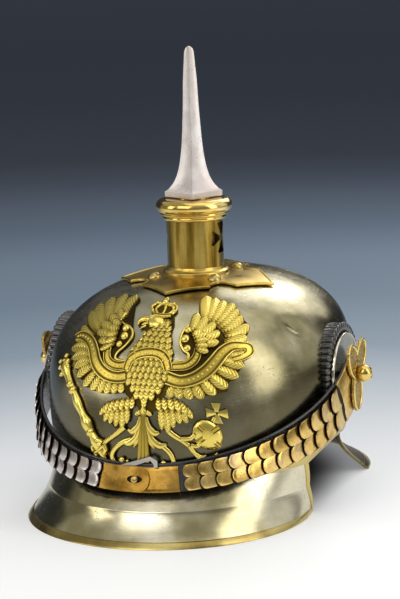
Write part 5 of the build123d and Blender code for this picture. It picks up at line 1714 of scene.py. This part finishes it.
# Thighs with hanging feathers, shins and claws
ground([(-0.6, -4.5), (-18, -7.5), (-24, -12), (-22, -17), (-14, -24), (-7, -23), (-2, -12)])
fan([(-1.5, -4.5), (-4.5, -4.8), (-8, -5.4), (-11.5, -6), (-15, -6.8), (-18.5, -8),
     (-21, -9.6)],
    [(-1.8, -11.5), (-5.4, -12.5), (-9.6, -12.8), (-14, -13.2), (-18.2, -13.8),
     (-22.2, -14.6), (-25, -15.6)],
    [3.8, 4.0, 4.2, 4.2, 4.2, 4.0, 3.6], low=1.2, high=2.2, point=0.5)
fan([(-4.5, -10), (-8, -10.5), (-11.5, -11), (-15, -11.5), (-18, -12)],
    [(-5.0, -20.5), (-8.4, -24.2), (-13, -22.5), (-17.4, -21), (-21.6, -19.5)],
    [4.2, 4.8, 4.8, 4.6, 4.4], low=1.8, high=2.2, point=0.5)
tube([(-7.0, -22.5), (-12.0, -26.2), (-18.0, -29.8), (-24.0, -33.0)], (2.2, 1.8, 1.6, 1.7), 1.0,
     20)
for points in (((-23.5, -32.4), (-27.0, -30.6), (-30.6, -31.2), (-31.4, -33.6)),
               ((-24.0, -33.4), (-28.4, -33.2), (-31.8, -34.6), (-31.4, -37.2)),
               ((-23.0, -34.2), (-26.4, -36.4), (-29.6, -38.2), (-28.4, -40.0)),
               ((-22.5, -33.6), (-21.2, -36.6), (-22.4, -39.0))):
    tube(points, (1.3, 1.25, 1.0, 0.3)[:len(points)], 2.6, 14)
ground([(14.5, -4.5), (24, -3.5), (32, -5.5), (36.5, -10.5), (33, -15), (28, -15.5),
        (23, -23.5), (18.5, -23), (15.5, -13)])
fan([(15.5, -4), (19, -3.4), (22.5, -3), (26, -3.4), (29.5, -4.6), (32.5, -7)],
    [(16.6, -11), (20.6, -10.6), (25.2, -10.4), (29.8, -11), (34.0, -12.2), (37.0, -13.4)],
    [3.8, 4.0, 4.2, 4.2, 4.2, 4.0], low=1.2, high=2.2, point=0.5)
fan([(17.5, -9), (21, -9), (24.5, -9), (28, -9.6), (31, -10.5)],
    [(18.6, -22.5), (22.4, -24.5), (25.6, -20.5), (29.6, -17.5), (34.0, -16.5)],
    [4.4, 4.8, 4.6, 4.6, 4.2], low=1.8, high=2.2, point=0.5)
tube([(22.5, -23.0), (26.0, -25.4), (31.0, -27.8), (35.5, -30.5)], (2.0, 1.8, 1.6, 1.7), 1.0, 18)
for points in (((35.0, -30.0), (37.4, -33.2), (41.6, -35.0), (44.4, -33.6)),
               ((36.0, -29.4), (39.6, -29.2), (41.4, -26.6), (40.6, -24.4)),
               ((36.0, -31.0), (41.0, -36.6), (47.0, -35.6), (50.6, -31.0)),
               ((30.0, -26.6), (35.6, -25.4), (38.2, -22.4))):
    tube(points, (1.3, 1.2, 1.0, 0.3)[:len(points)], 2.6, 16)

# Tail: a fluted stem, leaves that curl off it in pairs, and a scroll at each side
for across in (-1, 0, 1):
    tube([(6.5 + across * 0.9, -12.5), (6.3 + across * 1.7, -24.0), (5.8 + across * 2.7, -42.5)],
         (0.9, 1.25, 1.75), 1.6, 20, bright=0.4)
feather((6.5, -15.5), (6.5, -9.5), 5.0, 2.0, 2.6, point=0.9)
feather((5.5, -12.5), (1.0, -15.0), 3.4, 1.8, 2.4, point=0.9)
feather((7.5, -12.5), (12.0, -14.6), 3.4, 1.8, 2.4, point=0.9)
for side, middle in ((-1, 6.0), (1, 6.6)):
    for leaf, radii, lift, count, bright in (
            (((1.6, -16.0), (3.4, -21.6), (7.0, -25.0), (10.2, -24.4)), (1.0, 1.7, 2.1, 0.7),
             1.6, 18, 0.75),
            (((2.2, -22.0), (5.0, -28.4), (9.8, -32.2), (14.6, -31.0)), (1.0, 1.8, 2.3, 0.7),
             1.6, 20, 0.75),
            (((3.0, -27.0), (4.6, -31.0), (6.6, -34.6)), (1.0, 1.7, 0.5), 1.4, 14, 0.6)):
        tube([(middle + side * x, y) for x, y in leaf], radii, lift, count, bright=bright)
for scroll in (((1.0, -29.2), (-8.0, -31.8), (-14.4, -36.0), (-16.8, -41.0), (-13.8, -45.0),
                (-9.4, -44.8)),
               ((11.0, -28.8), (18.6, -32.6), (23.4, -36.6), (25.0, -41.4), (22.4, -45.0),
                (18.8, -44.4))):
    tube(scroll, (1.4, 1.7, 1.7, 1.6, 1.4, 1.0), 1.4, 34)
for at, radius in (((-9.6, -42.6), 2.1), ((18.8, -42.8), 2.1), ((-5.6, -43.2), 1.2)):
    boss(at, radius, 1.4)

# Sceptre, orb and the cross that stands on it
tube([(-64.5, 23.5), (-61.0, 18.5), (-57.0, 11.5), (-52.6, 4.6), (-49.7, 0.5), (-45.5, -7.0),
      (-41.0, -14.2), (-37.0, -20.4), (-33.0, -26.4), (-29.6, -32.0), (-25.7, -38.2),
      (-21.6, -43.4)],
     (1.2, 3.6, 2.4, 2.2, 2.0, 3.0, 2.2, 3.8, 2.6, 3.4, 2.2, 0.8), 1.2, 90)
for at, size in (((-62.6, 21.8), 2.0), ((-58.6, 21.4), 1.8), ((-65.6, 18.4), 1.8),
                 ((-66.6, 22.6), 1.4), ((-61.0, 25.6), 1.5), ((-57.4, 17.0), 1.7),
                 ((-63.4, 13.4), 1.7), ((-50.0, 1.2), 2.9), ((-53.4, 5.6), 2.4),
                 ((-37.6, -20.0), 2.9), ((-33.4, -26.0), 3.0), ((-30.8, -29.6), 2.4)):
    boss(at, size, 1.8)
boss((45.7, -21.6), 8.9, 0.8, 2.6)
ribbon([(39.4, -27.4), (45.4, -21.6), (52.0, -15.6)], (3.0, 3.2, 3.0), 2.9, 20)
ribbon([(40.2, -17.2), (44.4, -20.4), (46.0, -22.0)], (3.0, 3.2, 3.2), 2.9, 14)
ribbon([(45.6, -21.6), (50.0, -25.2), (52.4, -27.0)], (3.2, 3.2, 3.0), 2.5, 14)
tube([(48.6, -13.2), (49.6, -10.4)], (1.0, 0.9), 1.4, 6)
CROSS_MIDDLE = (50.8, -7.6)
for quarter in range(4):
    turn = radians(90 * quarter + 8)

    def arm(a, b, turn=turn):
        along = (0.6, 0.6, 2.4, 5.6, 6.0, 6.0)[round(b * 5)]
        across = (-1.0, -0.9, 0.0, 0.9, 1.0)[round(a * 4)]
        half = mix(0.7, 3.1, along / 6.0)
        lift = 0.0 if round(b * 5) in (0, 5) or abs(across) == 1.0 else 2.2 - 0.5 * abs(across)
        return *rotated(across * half, along, turn, CROSS_MIDDLE), lift, 0.0, 0.0
    stamp(4, 5, arm)

settle("stamped_eagle", stamping, EAGLE_BRASS, "brass", ["eagle_plate"], sharp=52)


# Floor, light and camera

def stage_finish():
    """Pale floor with a painted shadow under the helmet, that deepens to slate blue far behind it.
    """
    finish = Finish("floor", Roughness=0.6)
    away = finish.vector("LENGTH", finish.place)
    behind = finish.vector("DOT_PRODUCT", finish.place, (-0.37, 0.93, 0.0))
    shaded = finish.colours((away * 0.5).clamped(), (0.80, 0.81, 0.835), (0.46, 0.49, 0.53),
                            (0.19, 0.24, 0.30), (0.125, 0.17, 0.225), (0.12, 0.16, 0.215),
                            (0.083, 0.113, 0.16), (0.067, 0.088, 0.125), (0.045, 0.058, 0.083),
                            (0.033, 0.040, 0.059))
    plain = finish.colours((away * 0.5).clamped(), (0.80, 0.81, 0.835), (0.80, 0.80, 0.79),
                           (0.48, 0.48, 0.47), (0.36, 0.36, 0.35), (0.33, 0.33, 0.32))
    beside = finish.vector("DOT_PRODUCT", finish.place, (0.93, 0.37, 0.0))
    colour = finish.blend((behind - finish.size(beside) * 0.6).step(-0.3, 0.2), plain, shaded)
    seen = finish.node("ShaderNodeLightPath", {}, {}, "Is Camera Ray")
    mirrored_too = finish.node("ShaderNodeLightPath", {}, {}, "Is Glossy Ray")
    # Painted shadow: an oval under the helmet is painted near black and gets no glow.
    under = finish.vector("LENGTH", finish.stretched(1 / 0.085, 1 / 0.14, 1.0))
    outside_painted_shadow = under.step(0.7, 1.15)
    colour = finish.blend(outside_painted_shadow, (0.02, 0.018, 0.016), colour)
    lit = (seen + mirrored_too).clamped() * outside_painted_shadow
    glow = finish.blend(lit, (0.0, 0.0, 0.0), colour)
    finish.tree.links.new(glow.socket, finish.shader.inputs["Emission Color"])
    finish.shader.inputs["Emission Strength"].default_value = 0.33
    return finish.coat(colour)


bm = bmesh.new()
profile = [(0.0, 0.0), (3.0, 0.0), (3.6, 0.05), (4.0, 0.25), (4.2, 0.8), (4.2, 2.5)]
lofted(bm, 96, profile, lambda a, s: Vector((s[0] * cos(tau * a), s[0] * sin(tau * a), s[1])))
bmesh.ops.remove_doubles(bm, verts=bm.verts, dist=0.0001)
mesh = bpy.data.meshes.new("floor")
bm.to_mesh(mesh)
bm.free()
mesh.shade_smooth()
floor = bpy.data.objects.new("floor", mesh)
mesh.materials.append(stage_finish())
bpy.context.scene.collection.objects.link(floor)

world = bpy.data.worlds.new("studio")
world.use_nodes = True
bpy.context.scene.world = world
backdrop = world.node_tree.nodes["Background"]
backdrop.inputs["Color"].default_value = (0.45, 0.45, 0.43, 1.0)
backdrop.inputs["Strength"].default_value = 1.0


AIM = (0, 0, 0.12)


def lamp(name, place, size, power, colour=(1.0, 1.0, 1.0)):
    """Soft lamp, aimed at the helmet's middle."""
    light = bpy.data.lights.new(name, "AREA")
    light.shape = "RECTANGLE"
    light.size, light.size_y = size
    light.energy = power
    light.color = colour
    made = bpy.data.objects.new(name, light)
    made.location = place
    made.rotation_euler = (Vector(AIM) - Vector(place)).to_track_quat("-Z", "Y").to_euler()
    bpy.context.scene.collection.objects.link(made)


lamp("window", (1.39, -0.2, 0.8), (0.62, 1.6), 8.0, (1.0, 0.98, 0.94))
lamp("rear", (0.1, 1.25, 0.9), (0.85, 0.75), 3.4, (1.0, 0.98, 0.94))
lamp("spark", (0.0, 1.3, 0.86), (0.22, 0.16), 1.6, (1.0, 0.99, 0.97))
lamp("front", (-0.3, -1.4, 1.1), (1.1, 1.1), 8.0, (1.0, 0.98, 0.95))
lamp("left", (-1.25, -0.9, 0.7), (0.5, 0.9), 3.4, (1.0, 0.99, 0.97))
lamp("right_rear", (1.15, 0.75, 0.75), (0.9, 1.1), 1.5)
lamp("top", (0.4, 0.2, 2.1), (2.0, 2.0), 11.0)

AZIMUTH, ELEVATION, ROLL = radians(21.782), radians(10.499), radians(-1.895)
FOCAL_PIXELS = 2160.33
IMAGE_HEIGHT = 599
DISTANCE = 1500.0
AIM_RIGHT, AIM_UP = 1.983, 137.319

back = Vector((sin(AZIMUTH) * cos(ELEVATION), -cos(AZIMUTH) * cos(ELEVATION), sin(ELEVATION)))
right = Vector((cos(AZIMUTH), sin(AZIMUTH), 0.0))
up = back.cross(right)
spot = right * AIM_RIGHT + Vector((0, SPIKE_Y, AIM_UP)) + back * DISTANCE
tilted_right = right * cos(ROLL) + up * sin(ROLL)
tilted_up = up * cos(ROLL) - right * sin(ROLL)
lens = bpy.data.cameras.new("camera")
lens.sensor_width = 36.0
lens.lens = FOCAL_PIXELS * lens.sensor_width / IMAGE_HEIGHT
camera = bpy.data.objects.new("camera", lens)
camera.matrix_world = Matrix((
    (tilted_right.x, tilted_up.x, back.x, spot.x * MM),
    (tilted_right.y, tilted_up.y, back.y, spot.y * MM),
    (tilted_right.z, tilted_up.z, back.z, spot.z * MM),
    (0, 0, 0, 1),
))
bpy.context.scene.collection.objects.link(camera)
bpy.context.scene.camera = camera
bpy.context.scene.view_settings.view_transform = "Standard"
